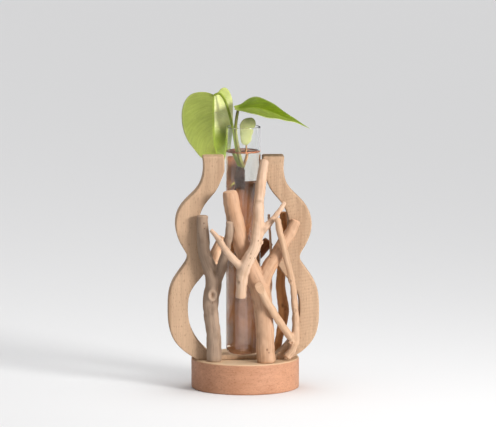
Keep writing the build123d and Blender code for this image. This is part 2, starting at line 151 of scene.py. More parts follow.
rear_sticks = {
    "branch": [[
        (0.45, 0.0, 0.60, 0.0), (0.51, 0.125, 0.74, 0.0), (0.55, 0.215, 1.0, 0.0), (0.51, 0.32, 0.86, 0.0),
        (0.52, 0.42, 0.76, 0.0), (0.55, 0.57, 0.69, 0.0), (0.54, 0.71, 0.64, 0.0),
    ]],
    "twig": [[
        (0.36, 0.0, 1.0, 0.4), (0.37, 0.225, 0.93, 0.4), (0.38, 0.46, 0.86, 0.4), (0.35, 0.70, 0.86, 0.4),
    ]],
    "upright": [
        [(0.01, 0.0, 1.0, 1.0), (0.01, 0.30, 0.98, 1.0), (0.0, 0.58, 0.97, 1.0), (0.01, 0.855, 0.92, 1.0)],
        [(0.0, 0.385, 0.72, 1.0), (0.17, 0.48, 0.70, 1.0), (0.36, 0.56, 0.64, 1.0)],
        [(0.0, 0.70, 0.70, 1.0), (-0.04, 0.80, 0.66, 1.0), (-0.073, 0.90, 0.62, 1.0),
         (-0.075, 0.985, 0.60, 1.0)],
    ],
    "brace": [[
        (brace_side, 0.572, 1.0, 1.35), (brace_side - 0.12, 0.489, 1.0, 0.85),
        (brace_side - 0.24, 0.40, 0.95, 0.0),
    ]],
}

# Knots, scars and holes on the front of a stick: across, up, radius, height, tall, dark and cut shares
marks = {
    "grey": [
        (-0.425, 0.332, 3.0, 1.4, 1.5, 0.0, 1.0), (-0.43, 0.332, 0.8, -1.0, 2.4, 1.0, 0.0),
        (-0.42, 0.262, 3.0, 0.25, 1.1, 0.4, 0.0),
        (-0.536, 0.682, 0.7, -0.4, 1.0, 1.0, 0.0), (-0.523, 0.655, 0.6, -0.3, 1.0, 1.0, 0.0),
        (-0.385, 0.44, 2.2, -0.9, 1.8, 0.8, 0.0), (-0.45, 0.52, 2.4, 0.5, 1.2, 0.3, 0.0),
    ],
    "main": [
        (0.29, 0.069, 0.7, -0.4, 1.2, 1.0, 0.0), (0.315, 0.055, 0.6, -0.3, 1.0, 0.9, 0.0),
        (-0.16, 0.66, 0.8, -0.5, 2.4, 0.9, 0.0), (0.06, 0.30, 3.2, 0.5, 1.3, 0.2, 0.0),
        (-0.02, 0.50, 2.6, 0.4, 1.2, 0.15, 0.0), (-0.07, 0.513, 2.0, 0.8, 1.2, 0.35, 0.0),
    ],
    "cream": [
        (0.235, 0.60, 1.6, 1.0, 0.8, 0.3, 0.5),
        (0.25, 0.658, 2.6, 0.2, 0.8, 0.5, 0.0), (0.31, 0.68, 2.2, 0.25, 0.7, 0.4, 0.0),
        (0.37, 0.70, 2.0, 0.15, 0.8, 0.35, 0.0), (0.43, 0.725, 1.8, 0.2, 0.7, 0.3, 0.0),
        (0.057, 0.527, 0.6, -0.3, 1.0, 0.9, 0.0),
        (0.065, 0.548, 0.5, -0.3, 1.0, 0.9, 0.0), (0.04, 0.49, 0.5, -0.3, 1.0, 0.8, 0.0),
        (-0.095, 0.411, 1.5, 0.35, 1.1, 0.7, 0.0), (-0.134, 0.436, 0.9, -0.3, 1.1, 0.7, 0.0),
        (0.19, 0.793, 3.2, 0.15, 0.4, 0.4, 0.0),
    ],
    "vee": [
        (0.622, 0.094, 1.8, 1.0, 1.0, 0.1, 0.9), (0.60, 0.40, 1.6, 0.35, 1.4, 0.3, 0.0),
        (0.67, 0.25, 1.5, 0.3, 1.4, 0.3, 0.0),
    ],
    "branch": [(0.575, 0.235, 2.0, 0.7, 1.0, 0.3, 0.0), (0.53, 0.25, 1.2, -0.5, 1.6, 0.9, 0.0)],
}

# Limbs whose end is cut at a slant: the limb's number, its slant, and how far the cut reaches
slants = {"vee": (1, 0.40, 11.0)}

# Cutting: across and back from the tube's axis in bore radii, up in tube lengths, girth share
stalks = {
    "large_petiole": (2.2, [
        (-0.14, 0.20, 0.8235, 0.90), (-0.40, 0.38, 0.89, 1.0), (-0.67, 0.57, 1.0, 0.95),
        (-0.97, 0.75, 1.078, 0.85), (-1.22, 0.90, 1.12, 0.80), (-1.50, 1.0, 1.137, 0.75),
        (-1.79, 1.04, 1.130, 0.70),
    ]),
    "right_petiole": (2.4, [
        (0.0, 0.02, 0.8235, 0.90), (-0.28, 0.0, 0.895, 1.0), (-0.48, 0.0, 1.0, 0.95),
        (-0.33, -0.07, 1.072, 0.85),
    ]),
    "small_petiole": (1.6, [
        (0.02, 0.34, 0.8235, 0.90), (0.20, 0.34, 0.885, 0.90), (0.22, 0.34, 0.915, 0.75),
    ]),
}
stem_line = [
    (-0.12, 0.20, 0.73, 0.70), (-0.14, 0.20, 0.76, 1.0), (-0.12, 0.20, 0.79, 0.95),
    (-0.10, 0.20, 0.8235, 0.66),
]
root_line = [(-0.40, 0.16, 0.752, 1.0), (-0.52, 0.10, 0.745, 0.9), (-0.66, 0.05, 0.735, 0.5)]
stem_girth = 5.0
root_girth = 1.5
new_root_girth = 1.1

# Each leaf's midrib and two edges from the stalk to the tip, as shares of the leaf's length. The large
# leaf's run right, up and towards the front, the others' along the leaf, across it and up from its face
large_midrib_shares = [
    (0.0, 0.0, 0.0), (-0.008, -0.15, 0.012), (-0.008, -0.366, 0.02), (-0.004, -0.586, 0.012),
    (0.022, -0.808, -0.016), (0.138, -1.004, -0.046),
]
large_left_shares = [
    (0.0, 0.0, 0.0), (-0.086, 0.028, -0.046), (-0.198, 0.034, -0.076), (-0.312, 0.008, -0.106),
    (-0.398, -0.07, -0.136), (-0.446, -0.19, -0.156), (-0.464, -0.336, -0.156), (-0.45, -0.48, -0.146),
    (-0.412, -0.596, -0.136), (-0.356, -0.708, -0.116), (-0.27, -0.822, -0.096), (-0.17, -0.928, -0.076),
    (-0.028, -0.984, -0.056), (0.138, -1.004, -0.046),
]
large_right_shares = [
    (0.0, 0.0, 0.0), (0.038, 0.002, -0.076), (0.078, 0.032, -0.136), (0.144, 0.084, -0.176),
    (0.196, 0.066, -0.196), (0.24, -0.008, -0.206), (0.268, -0.126, -0.206), (0.278, -0.254, -0.196),
    (0.268, -0.398, -0.176), (0.244, -0.54, -0.156), (0.214, -0.682, -0.136), (0.184, -0.822, -0.096),
    (0.138, -1.004, -0.046),
]
right_midrib_shares = [
    (0.0, 0.0, 0.0), (0.06, 0.004, 0.012), (0.15, 0.012, 0.052), (0.28, 0.022, 0.087), (0.41, 0.025, 0.095),
    (0.55, 0.023, 0.086), (0.69, 0.019, 0.072), (0.83, 0.016, 0.061), (0.99, 0.01, 0.037),
]
right_far_shares = [
    (0.0, 0.0, 0.0), (-0.022, 0.045, 0.0), (0.0, 0.085, 0.002), (0.065, 0.151, 0.02), (0.107, 0.217, 0.053),
    (0.162, 0.282, 0.087), (0.234, 0.308, 0.116), (0.311, 0.311, 0.126), (0.421, 0.291, 0.121),
    (0.54, 0.247, 0.095), (0.655, 0.188, 0.082), (0.758, 0.126, 0.067), (0.87, 0.068, 0.055),
    (0.99, 0.01, 0.037),
]
right_near_shares = [
    (0.0, 0.0, 0.0), (-0.01, -0.045, 0.0), (0.035, -0.085, 0.012), (0.1, -0.135, 0.042),
    (0.207, -0.219, 0.081), (0.337, -0.251, 0.098), (0.443, -0.231, 0.103), (0.577, -0.176, 0.103),
    (0.715, -0.087, 0.088), (0.853, -0.018, 0.065), (0.99, 0.01, 0.037),
]
small_midrib_shares = [
    (0.0, 0.0, 0.0), (0.21, -0.095, -0.02), (0.51, -0.165, -0.005), (0.78, -0.185, 0.01), (1.0, -0.20, 0.0),
]
small_left_shares = [
    (0.0, 0.0, 0.0), (0.05, 0.14, 0.02), (0.25, 0.21, 0.04), (0.62, 0.24, 0.09), (0.86, 0.19, 0.10),
    (0.98, 0.02, 0.06), (1.0, -0.20, 0.0),
]
small_right_shares = [
    (0.0, 0.0, 0.0), (0.07, -0.11, -0.05), (0.33, -0.215, -0.11), (0.58, -0.29, -0.12), (0.86, -0.33, -0.10),
    (1.0, -0.20, 0.0),
]
leaf_lines = {
    "large": (large_midrib_shares, large_left_shares, large_right_shares),
    "right": (right_midrib_shares, right_near_shares, right_far_shares),
    "small": (small_midrib_shares, small_left_shares, small_right_shares),
}
leaf_lengths = {"large": 50.0, "right": 56.0, "small": 20.0}
large_leaf_gap = 5.6
right_leaf_droop = math.radians(18.0)
right_leaf_tilt = math.radians(15.0)


def linear(hexadecimal):
    """sRGB hex colour as the linear colour that shaders use."""
    parts = [int(hexadecimal[k:k + 2], 16) / 255 for k in (1, 3, 5)]
    return tuple(p / 12.92 if p <= 0.04045 else ((p + 0.055) / 1.055) ** 2.4 for p in parts)


def colour_property(name, hexadecimal, what):
    """A colour that the user can change."""
    return FloatVectorProperty(
        name=name, description=what, subtype="COLOR", size=3, min=0.0, max=1.0, default=linear(hexadecimal)
    )


class VaseSizes(bpy.types.PropertyGroup):
    """Sizes of the dressing, apart from those that the CAD model gives."""
    skin_step: FloatProperty(
        name="Skin step", description="Size of a stick's faces in millimetres", default=0.42, min=0.3, max=2.0
    )
    wander: FloatProperty(
        name="Wander", description="How far a stick leaves its smooth line, in millimetres", default=0.22
    )
    relief: FloatProperty(
        name="Relief", description="Depth of the lumps on a stick, in millimetres", default=0.13
    )
    blade_thickness: FloatProperty(
        name="Blade thickness", description="Thickness of a leaf, in millimetres", default=0.4
    )
    water_level: FloatProperty(
        name="Water level", description="Share of the tube's length up to the water", default=0.889,
        subtype="FACTOR",
    )
    roots: IntProperty(name="Roots", description="Number of fine new roots", default=9, min=0)


class VaseColours(bpy.types.PropertyGroup):
    """Colours of the real surfaces in daylight."""
    disc_wood: colour_property("Disc wood", "#c48f6f", "Reddish sanded softwood of the disc")
    board_wood: colour_property("Board wood", "#c0a083", "Sawn plank of the gourd board")
    grey_wood: colour_property("Grey wood", "#a38b77", "Weathered driftwood of the left fork")
    tan_wood: colour_property("Tan wood", "#c69f81", "Peeled driftwood of the thick fork")
    cream_wood: colour_property("Cream wood", "#cfb097", "Pale peeled wood of the three-armed stick")
    pink_wood: colour_property("Pink wood", "#caa88b", "Pale pinkish wood of the forked stick on the right")
    brown_wood: colour_property("Brown wood", "#cc925f", "Darker wood of the sticks behind")
    # The wood behind the tube is darkened as painted shade, as the glass and water cast no shadow on it
    painted_shade_wood: colour_property("Shaded wood", "#7a461e", "Wet-looking wood behind the tube")
    disc_top: colour_property("Disc top", "#dcbd9b", "Paler wood of the disc's top")
    leaf_green: colour_property("Leaf green", "#9ba754", "Upper side of the full-grown leaves")
    young_green: colour_property("Young leaf green", "#989b69", "The young leaf in the tube's mouth")
    # Pale green is painted light on the large leaf's far half, which faces the lamp
    pale_green: colour_property("Pale green", "#ebefae", "Pale side of a leaf")
    deep_green: colour_property("Deep green", "#5e7003", "Shaded and youngest parts of a leaf")
    stalk_green: colour_property("Stalk green", "#84942a", "Stalk of the large leaf")
    stalk_olive: colour_property("Stalk olive", "#747c2a", "Stalk of the right leaf")
    stalk_brown: colour_property("Stalk brown", "#9c7444", "Stalk of the young leaf")
    # The waterline's brown paints the dark line that the water's meniscus shows at the glass
    waterline: colour_property("Waterline", "#8b5233", "Tannin line where the water meets the glass")
    root_brown: colour_property("Root brown", "#40220b", "Rooting stem under water")
    floor: colour_property("Floor", "#eaeaeb", "Plain studio paper")


def colours():
    """The colours as the user has set them."""
    return bpy.context.scene.vase_colours


def sizes():
    """The sizes as the user has set them."""
    return bpy.context.scene.vase_sizes


# Shapes


def unit(vectors):
    """Vectors brought to length one along the last axis."""
    return vectors / np.maximum(np.linalg.norm(vectors, axis=-1, keepdims=True), 1e-12)


def distances(line):
    """Distance along a line at each of its points."""
    return np.concatenate([[0.0], np.cumsum(np.linalg.norm(np.diff(line, axis=0), axis=1))])


def smooth_line(stations, steps):
    """Natural cubic spline through the stations, by distance, at even steps.

    The columns after x, y and z run evenly from station to station.
    """
    stations = np.asarray(stations, float)
    reached = distances(stations[:, :3])
    gaps = np.diff(reached)
    last = len(reached) - 1
    inner = np.arange(1, last)
    matrix = np.eye(last + 1)
    matrix[inner, inner - 1] = gaps[:-1]
    matrix[inner, inner] = 2 * (gaps[:-1] + gaps[1:])
    matrix[inner, inner + 1] = gaps[1:]
    slopes = np.diff(stations, axis=0) / gaps[:, None]
    right = np.zeros_like(stations)
    right[1:-1] = 6 * np.diff(slopes, axis=0)
    bend = np.linalg.solve(matrix, right)
    at = np.linspace(0.0, reached[-1], steps)
    k = np.clip(np.searchsorted(reached, at, side="right") - 1, 0, last - 1)
    gap = gaps[k][:, None]
    to_next = (reached[k + 1] - at)[:, None]
    from_here = (at - reached[k])[:, None]
    line = (bend[k] * to_next ** 3 + bend[k + 1] * from_here ** 3) / (6 * gap)
    line += (stations[k] / gap - bend[k] * gap / 6) * to_next
    line += (stations[k + 1] / gap - bend[k + 1] * gap / 6) * from_here
    for column in range(3, stations.shape[1]):
        line[:, column] = np.interp(at, reached, stations[:, column])
    return line


def frames(path):
    """Along the path, and two directions square to it: to the side, and towards the back."""
    along = unit(np.gradient(path, axis=0))
    side = unit(np.cross(along, np.array([0.0, 1.0, 0.0])))
    return along, side, np.cross(side, along)


def ripple(places, wavelengths, seed, count=20):
    """Soft seeded relief of spread one: a sum of plane waves of random direction and phase."""
    random = np.random.default_rng(seed)
    directions = unit(random.normal(size=(count, 3))) * random.uniform(0.6, 1.5, (count, 1))
    phases = random.uniform(0, 2 * math.pi, count)
    scaled = places / np.asarray(wavelengths, float) * 2 * math.pi
    return np.sin(scaled @ directions.T + phases).sum(1) / math.sqrt(count / 2)


def full_turn(steps):
    """Angles of a full turn at even steps."""
    return np.linspace(0, 2 * math.pi, steps, endpoint=False)


def grid_quads(rows, columns, closed_columns=True):
    """Faces of a grid of points, row after row."""
    across = columns if closed_columns else columns - 1
    i, j = np.meshgrid(np.arange(rows - 1), np.arange(across), indexing="ij")
    following = (j + 1) % columns
    quads = [i * columns + j, i * columns + following, (i + 1) * columns + following, (i + 1) * columns + j]
    return np.stack(quads, -1).reshape(-1, 4)


def closed_rings(rings):
    """Rings of points joined to a closed skin, each end ring with a fan of faces to its middle."""
    rows, columns = rings.shape[:2]
    points = np.concatenate([rings.reshape(-1, 3), rings[:1].mean(1), rings[-1:].mean(1)])
    turn = np.arange(columns)
    following = (turn + 1) % columns
    last = (rows - 1) * columns
    first_fan = np.stack([following, turn, np.full(columns, rows * columns)], -1)
    last_fan = np.stack([last + turn, last + following, np.full(columns, rows * columns + 1)], -1)
    return points, grid_quads(rows, columns), np.concatenate([first_fan, last_fan])


def outward(points, quads, triangles):
    """The closed skin, with every face turned round where it encloses a negative volume."""
    halves = np.concatenate([quads[:, [0, 1, 2]], quads[:, [0, 2, 3]], triangles])
    a, b, c = (points[halves[:, k]] for k in range(3))
    if (a * np.cross(b, c)).sum() < 0:
        return points, quads[:, ::-1], triangles[:, ::-1]
    return points, quads, triangles


def tube_skin(line, around=28, domes=(0.25, 0.25)):
    """A ring carried along a line of (x, y, z, radius): middle + radius (cos side + sin back).

    Each end is closed by shrinking rings that bulge by a dome share of the radius.
    """
    path, radii = line[:, :3], line[:, 3]
    along, side, back = frames(path)
    angle = full_turn(around)
    cap = np.array([0.3, 0.6, 0.82, 0.95])
    rise = np.sqrt(1 - cap ** 2)
    middles = np.concatenate([
        path[0] - along[0] * radii[0] * domes[0] * rise[:, None], path,
        path[-1] + along[-1] * radii[-1] * domes[1] * rise[::-1, None],
    ])
    reach = np.concatenate([radii[0] * cap, radii, radii[-1] * cap[::-1]])
    sides, backs = (
        np.concatenate([np.repeat(way[:1], len(cap), 0), way, np.repeat(way[-1:], len(cap), 0)])
        for way in (side, back)
    )
    ring = np.cos(angle)[None, :, None] * sides[:, None] + np.sin(angle)[None, :, None] * backs[:, None]
    return closed_rings(middles[:, None] + reach[:, None, None] * ring)


def turned_skin(profile, middle, around=160):
    """A profile of (radius, height) turned about an upright axis, its ends closed at the axis."""
    profile = np.asarray(profile, float)
    angle = full_turn(around)
    ring = np.stack([np.cos(angle), np.sin(angle), np.zeros(around)], -1)
    rings = np.array([middle[0], middle[1], 0.0]) + profile[:, 0, None, None] * ring[None]
    rings[:, :, 2] = profile[:, 1, None]
    return closed_rings(rings)


def turned_ring(radius, height, wide, high, around=128, section=12):
    """An oval carried round the tube's axis."""
    turn, angle = np.meshgrid(full_turn(around), full_turn(section), indexing="ij")
    reach = radius + wide * np.cos(angle)
    x = tube_middle[0] + reach * np.cos(turn)
    y = tube_middle[1] + reach * np.sin(turn)
    points = np.stack([x, y, height + high * np.sin(angle)], -1).reshape(-1, 3)
    return points, grid_quads(around + 1, section) % len(points), NO_TRIANGLES


def rounded(middle, radius, start, end, steps=6):
    """Arc of a profile about its middle, from one angle to another in degrees."""
    angle = np.radians(np.linspace(start, end, steps))
    return [(middle[0] + radius * math.cos(a), middle[1] + radius * math.sin(a)) for a in angle]


def add_object(name, data):
    """An object for a mesh, lamp or camera, linked to the scene."""
    made = bpy.data.objects.new(name, data)
    bpy.context.scene.collection.objects.link(made)
    return made


def made_mesh(name, points, quads, triangles):
    """A smooth mesh, filled with points and faces as whole arrays."""
    mesh = bpy.data.meshes.new(name)
    mesh.vertices.add(len(points))
    mesh.vertices.foreach_set("co", np.ascontiguousarray(points, np.float32).ravel())
    loops = np.concatenate([quads.ravel(), triangles.ravel()]).astype(np.int32)
    mesh.loops.add(len(loops))
    mesh.loops.foreach_set("vertex_index", loops)
    totals = np.concatenate([np.full(len(quads), 4), np.full(len(triangles), 3)])
    mesh.polygons.add(len(totals))
    mesh.polygons.foreach_set("loop_start", (np.cumsum(totals) - totals).astype(np.int32))
    mesh.update(calc_edges=True)
    mesh.validate()
    mesh.polygons.foreach_set("use_smooth", np.ones(len(mesh.polygons), bool))
    return mesh


def face_corners(mesh):
    """The point at each corner of a mesh's faces, face after face."""
    loops = np.zeros(len(mesh.loops), int)
    mesh.loops.foreach_get("vertex_index", loops)
    return loops


def melted(skins, step):
    """Several closed skins melted into one of even four-sided faces."""
    starts = np.cumsum([0] + [len(skin[0]) for skin in skins])
    faces = [
        np.concatenate([skin[kind] + start for skin, start in zip(skins, starts)]) for kind in (1, 2)
    ]
    mesh = made_mesh("melting", np.concatenate([skin[0] for skin in skins]), *faces)
    melting = add_object("melting", mesh)
    remesh = melting.modifiers.new("Melt", "REMESH")
    remesh.mode = "VOXEL"
    remesh.voxel_size = step
    evaluated = melting.evaluated_get(bpy.context.evaluated_depsgraph_get())
    even = evaluated.to_mesh()
    points = np.zeros(len(even.vertices) * 3)
    even.vertices.foreach_get("co", points)
    quads = face_corners(even)
    if len(quads) != 4 * len(even.polygons):
        raise RuntimeError("The melted skin has faces that aren't four-sided")
    evaluated.to_mesh_clear()
    bpy.data.objects.remove(melting)
    bpy.data.meshes.remove(mesh)
    return points.reshape(-1, 3), quads.reshape(-1, 4)


def gathered(at, values, count):
    """Sum of the values that belong to each point."""
    return np.stack([np.bincount(at, weights=values[:, axis], minlength=count) for axis in range(3)], -1)


def relaxed(points, quads, rounds, share):
    """Each point moves a share of the way to the mean of its neighbours, round after round."""
    start = quads.ravel()
    end = np.roll(quads, -1, axis=1).ravel()
    neighbours = np.bincount(start, minlength=len(points))[:, None]
    for _ in range(rounds):
        points = points + share * (gathered(start, points[end], len(points)) / neighbours - points)
    return points


def skin_normals(points, quads):
    """Unit normals at the points, from the faces around each."""
    across = points[quads[:, 2]] - points[quads[:, 0]]
    down = points[quads[:, 3]] - points[quads[:, 1]]
    return unit(gathered(quads.ravel(), np.repeat(np.cross(across, down), 4, axis=0), len(points)))


def add_piece(name, skin, body, material, nodes=(), values=None, uv=None):
    """Makes the finished piece: mesh, values at its points, material, body and CAD nodes."""
    points, quads, triangles = outward(*skin)
    mesh = made_mesh(name, points * MILLIMETRE, quads, triangles)
    for key, value in (values or {}).items():
        kind, field = ("FLOAT_VECTOR", "vector") if value.ndim == 2 else ("FLOAT", "value")
        mesh.attributes.new(key, kind, "POINT").data.foreach_set(field, value.ravel())
    if uv is not None:
        mesh.uv_layers.new(name="UVMap").data.foreach_set("uv", uv[face_corners(mesh)].ravel())
    mesh.materials.append(material)
    piece = add_object(name, mesh)
    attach(piece, body)
    if nodes:
        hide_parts(*nodes)
    return piece


# Materials


def add_node(tree, kind, inputs=None, **settings):
    """Adds one shader node with its settings, and sets or links its inputs."""
    node = tree.nodes.new("ShaderNode" + kind)
    for key, value in settings.items():
        setattr(node, key, value)
    for key, value in (inputs or {}).items():
        if isinstance(value, bpy.types.NodeSocket):
            tree.links.new(value, node.inputs[key])
        else:
            node.inputs[key].default_value = value
    return node


def new_material(name):
    """An empty material and its node tree."""
    material = bpy.data.materials.new(name)
    material.use_nodes = True
    material.node_tree.nodes.clear()
    return material, material.node_tree


def finish(material, relief=None, **sockets):
    """The material with its surface shader, whose sockets are set or linked.

    A relief is its strength, its depth in millimetres and the weighted patterns that it adds up.
    """
    tree = material.node_tree
    inputs = {key.replace("_", " "): value for key, value in sockets.items()}
    if relief:
        strength, depth, *patterns = relief
        height = weighted_sum(tree, *patterns)
        bump = {"Strength": strength, "Distance": depth * MILLIMETRE, "Height": height}
        inputs["Normal"] = add_node(tree, "Bump", bump).outputs[0]
    surface = add_node(tree, "BsdfPrincipled", inputs)
    add_node(tree, "OutputMaterial", {"Surface": surface.outputs[0]})
    return material


def shade(colour, factor=1.0, warmth=0.0):
    """The colour made lighter or darker, and warmer where the last value is above zero."""
    factors = (factor * (1 + warmth), factor, factor * (1 - warmth))
    return (*(min(1.0, part * share) for part, share in zip(colour, factors)), 1.0)


def in_millimetres(tree):
    """The place on the object in millimetres."""
    place = add_node(tree, "TexCoord").outputs["Object"]
    return add_node(tree, "Mapping", {"Vector": place, "Scale": (1 / MILLIMETRE,) * 3}).outputs[0]


def grained(tree, place, grain, detail=3.0, roughness=0.55, distortion=0.0):
    """Noise whose grain is given in the place's own unit along x, y and z."""
    mapping = add_node(tree, "Mapping", {"Vector": place, "Scale": tuple(1 / size for size in grain)})
    return add_node(tree, "TexNoise", {
        "Vector": mapping.outputs[0], "Scale": 1.0, "Detail": detail, "Roughness": roughness,
        "Distortion": distortion,
    }).outputs[0]


def weighted_sum(tree, *terms):
    """Sum of values, each with its weight."""
    result = 0.0
    for value, weight in terms:
        inputs = {0: value, 1: weight, 2: result}
        result = add_node(tree, "Math", inputs, operation="MULTIPLY_ADD").outputs[0]
    return result


def streaked(tree, patterns, *stops):
    """Weighted patterns added up, and the colour that the sum takes between stops of (sum, colour)."""
    tone = weighted_sum(tree, *patterns)
    ramp = add_node(tree, "ValToRGB", {0: tone})
    elements = ramp.color_ramp.elements
    while len(elements) < len(stops):
        elements.new(0.5)
    for element, (position, colour) in zip(elements, stops):
        element.position = position
        element.color = colour
    return tone, ramp.outputs[0]


def laid_over(tree, below, cover, value, low=0.0, high=1.0, most=1.0):
    """The colour below with a cover laid on as a value goes from low to high, and how far it went.

    The cover hides the colour below by the last share at most.
    """
    where = add_node(tree, "MapRange", {0: value, 1: low, 2: high}).outputs[0]
    share = weighted_sum(tree, (where, most))
    return add_node(tree, "Mix", {0: share, 6: below, 7: cover}, data_type="RGBA").outputs[2], where


def driftwood(name, colour, streak, weathered=0.0, roughness=0.62):
    """Driftwood: branch wood without bark, bleached by water and sun.

    Long fibres streak it along the limb. Knots and pinholes are dark, and sawn ends are paler.
    """
    material, tree = new_material(name)
    grain = add_node(tree, "Attribute", attribute_name="grain").outputs["Vector"]
    knot, cut, hollow_shade = (
        add_node(tree, "Attribute", attribute_name=key).outputs["Fac"] for key in ("knot", "cut", "hollow_shade")
    )
    # Fibre bundles 0.9 mm wide and 16 mm long, broad streaks 3.2 mm wide and 45 mm long, and patches
    fibre = grained(tree, grain, (0.9, 0.9, 16.0), 4.0, 0.6, 0.3)
    broad = grained(tree, grain, (3.2, 3.2, 45.0), 2.0, 0.5, 0.4)
    patch = grained(tree, grain, (9.0, 9.0, 14.0), 3.0, 0.6)
    wood = streaked(
        tree, [(fibre, 0.40), (broad, 0.35), (patch, 0.25)],
        (0.36, shade(colour, 1 - 0.5 * streak, 0.10 * (1 - weathered))), (0.5, shade(colour)),
        (0.66, shade(colour, 1 + 0.14 * streak)),
    )[1]
    dark = shade(colour, 0.26, 0.25)
    # A darker blush in patches 14 mm wide, and painted shade in the hollows
    blush = grained(tree, grain, (14.0, 14.0, 24.0), 2.0, 0.5)
    wood = laid_over(tree, wood, shade(colour, 0.86, 0.12 * (1 - weathered)), blush, 0.46, 0.66, 0.5)[0]
    # The hollows are darkened: painted shade
    wood = laid_over(tree, wood, shade(colour, 0.45, 0.2), hollow_shade, most=0.6)[0]
    # Pinholes about 0.6 mm across, 6 mm apart across the fibres and 12 mm along them
    holes = add_node(tree, "Mapping", {"Vector": grain, "Scale": (0.16, 0.16, 0.085)}).outputs[0]
    centres = add_node(tree, "TexVoronoi", {"Vector": holes, "Scale": 1.0}).outputs["Distance"]
    wood, pin = laid_over(tree, wood, dark, centres, 0.075, 0.035)
    # Hairline checks that open along the fibres as the wood dries
    dry = grained(tree, grain, (0.7, 0.7, 30.0), 2.0, 0.5)
    wood, check = laid_over(tree, wood, dark, dry, 0.66, 0.72, 0.35 + 0.4 * weathered)
    wood = laid_over(tree, wood, dark, knot, 0.05, 0.9, 0.9)[0]
    # Growth rings on a sawn end, 0.8 mm apart: 7.8 radians for each millimetre from the pith
    flat = add_node(tree, "VectorMath", {0: grain, 1: (1.0, 1.0, 0.0)}, operation="MULTIPLY").outputs[0]
    reach = add_node(tree, "VectorMath", {0: flat}, operation="LENGTH").outputs["Value"]
    ring = add_node(tree, "Math", {0: weighted_sum(tree, (reach, 7.8))}, operation="SINE").outputs[0]
    sawn = laid_over(tree, shade(colour, 1.0, 0.04), shade(colour, 1.22), ring, -1.0)[0]
    wood = laid_over(tree, wood, sawn, cut, 0.25, 0.6)[0]
    dull = add_node(tree, "MapRange", {0: fibre, 1: 0.3, 2: 0.7, 3: roughness - 0.08, 4: roughness + 0.1})
    return finish(
        material, (0.55, 0.35, (fibre, 0.7), (check, -0.5), (pin, -0.8), (broad, 0.3)),
        Base_Color=wood, Roughness=dull.outputs[0], Specular_IOR_Level=0.35,
    )


def sawn_plank(name, colour):
    """Softwood plank, bandsawn: upright growth bands, short pores, and saw marks across the face."""
    material, tree = new_material(name)
    place = in_millimetres(tree)
    # Growth bands 5 mm wide that run up the plank, fibres 0.6 mm wide and 30 mm long, and clouds
    bands = grained(tree, place, (5.0, 9.0, 120.0), 3.0, 0.55, 0.5)
    fibre = grained(tree, place, (0.6, 0.6, 30.0), 4.0, 0.6)
    cloud = grained(tree, place, (26.0, 20.0, 40.0), 2.0, 0.5)
    wood = streaked(
        tree, [(bands, 0.42), (fibre, 0.33), (cloud, 0.25)],
        (0.34, shade(colour, 0.62, 0.10)), (0.5, shade(colour, 0.97)), (0.66, shade(colour, 1.2)),
    )[1]
    # Saw marks: slanting lines 1.1 mm apart, drawn 2.3 mm apart so that they show, clearer on the right
    turned = add_node(tree, "Mapping", {"Vector": place, "Rotation": (0.0, math.radians(9), 0.0)})
    wave = add_node(tree, "TexWave", {
        "Vector": turned.outputs[0], "Scale": 2 * math.pi / 20 / 2.3, "Distortion": 4.0, "Detail": 3.0,
        "Detail Scale": 0.6,
    }, bands_direction="Z").outputs["Fac"]
    side = add_node(tree, "SeparateXYZ", {0: place}).outputs[0]
    clear = add_node(tree, "MapRange", {0: side, 1: -30.0, 2: 30.0, 3: 0.25}).outputs[0]
    marked = add_node(tree, "Math", {0: wave, 1: clear}, operation="MULTIPLY").outputs[0]
    wood, saw = laid_over(tree, wood, shade(colour, 0.66, 0.08), marked, most=0.20)
    # Short dark pores 0.35 mm wide and 3 mm long, drawn 0.8 mm wide so that they show
    dots = grained(tree, place, (0.8, 0.8, 3.0), 1.0, 0.4)
    wood, pore = laid_over(tree, wood, shade(colour, 0.45, 0.1), dots, 0.60, 0.72, 0.5)
    return finish(
        material, (0.5, 0.3, (fibre, 0.7), (saw, 0.35), (pore, -0.6)),
        Base_Color=wood, Roughness=0.68, Specular_IOR_Level=0.3,
    )


def sanded_disc(name, colour, top):
    """Reddish softwood disc, sanded: level fibres, fine flecks on the rim and a paler top."""
    material, tree = new_material(name)
    place = in_millimetres(tree)
    # Growth bands 5 mm wide and fibres 0.8 mm wide that run from side to side, and clouds
    bands = grained(tree, place, (60.0, 5.0, 4.0), 3.0, 0.55, 0.6)
    fibre = grained(tree, place, (16.0, 0.8, 0.7), 4.0, 0.6)
    cloud = grained(tree, place, (22.0, 22.0, 14.0), 2.0, 0.5)
    tone, wood = streaked(
        tree, [(bands, 0.42), (fibre, 0.33), (cloud, 0.25)],
        (0.34, shade(colour, 0.70, 0.12)), (0.5, shade(colour, 0.95)), (0.66, shade(colour, 1.12, -0.02)),
    )
    # Dark flecks about 0.5 mm high and 1 mm long, drawn twice as high so that they show
    dots = grained(tree, place, (1.5, 1.5, 1.0), 3.0, 0.6)
    wood, fleck = laid_over(tree, wood, shade(colour, 0.5, 0.15), dots, 0.52, 0.68, 0.55)
    upper = laid_over(tree, shade(top, 0.84, 0.04), shade(top, 1.08), tone, 0.36, 0.62)[0]
    height = add_node(tree, "SeparateXYZ", {0: place}).outputs[2]
    wood = laid_over(tree, wood, upper, height, disc_top - 0.9, disc_top - 0.2)[0]
    return finish(
        material, (0.35, 0.25, (fibre, 0.6), (fleck, -0.6)),
        Base_Color=wood, Roughness=0.55, Specular_IOR_Level=0.35,
    )


def zinc_screw(name):
    """Zinc-plated steel, cold-formed: a cool grey metal with fine scratches round the head."""
    material, tree = new_material(name)
    scratch = grained(tree, in_millimetres(tree), (0.3, 2.0, 0.3))
    tone = laid_over(tree, shade(linear("#8b8d92")), shade(linear("#b9bcc2")), scratch)[0]
    dull = add_node(tree, "MapRange", {0: scratch, 1: 0.3, 2: 0.7, 3: 0.3, 4: 0.5}).outputs[0]
    return finish(material, Base_Color=tone, Roughness=dull, Metallic=1.0)


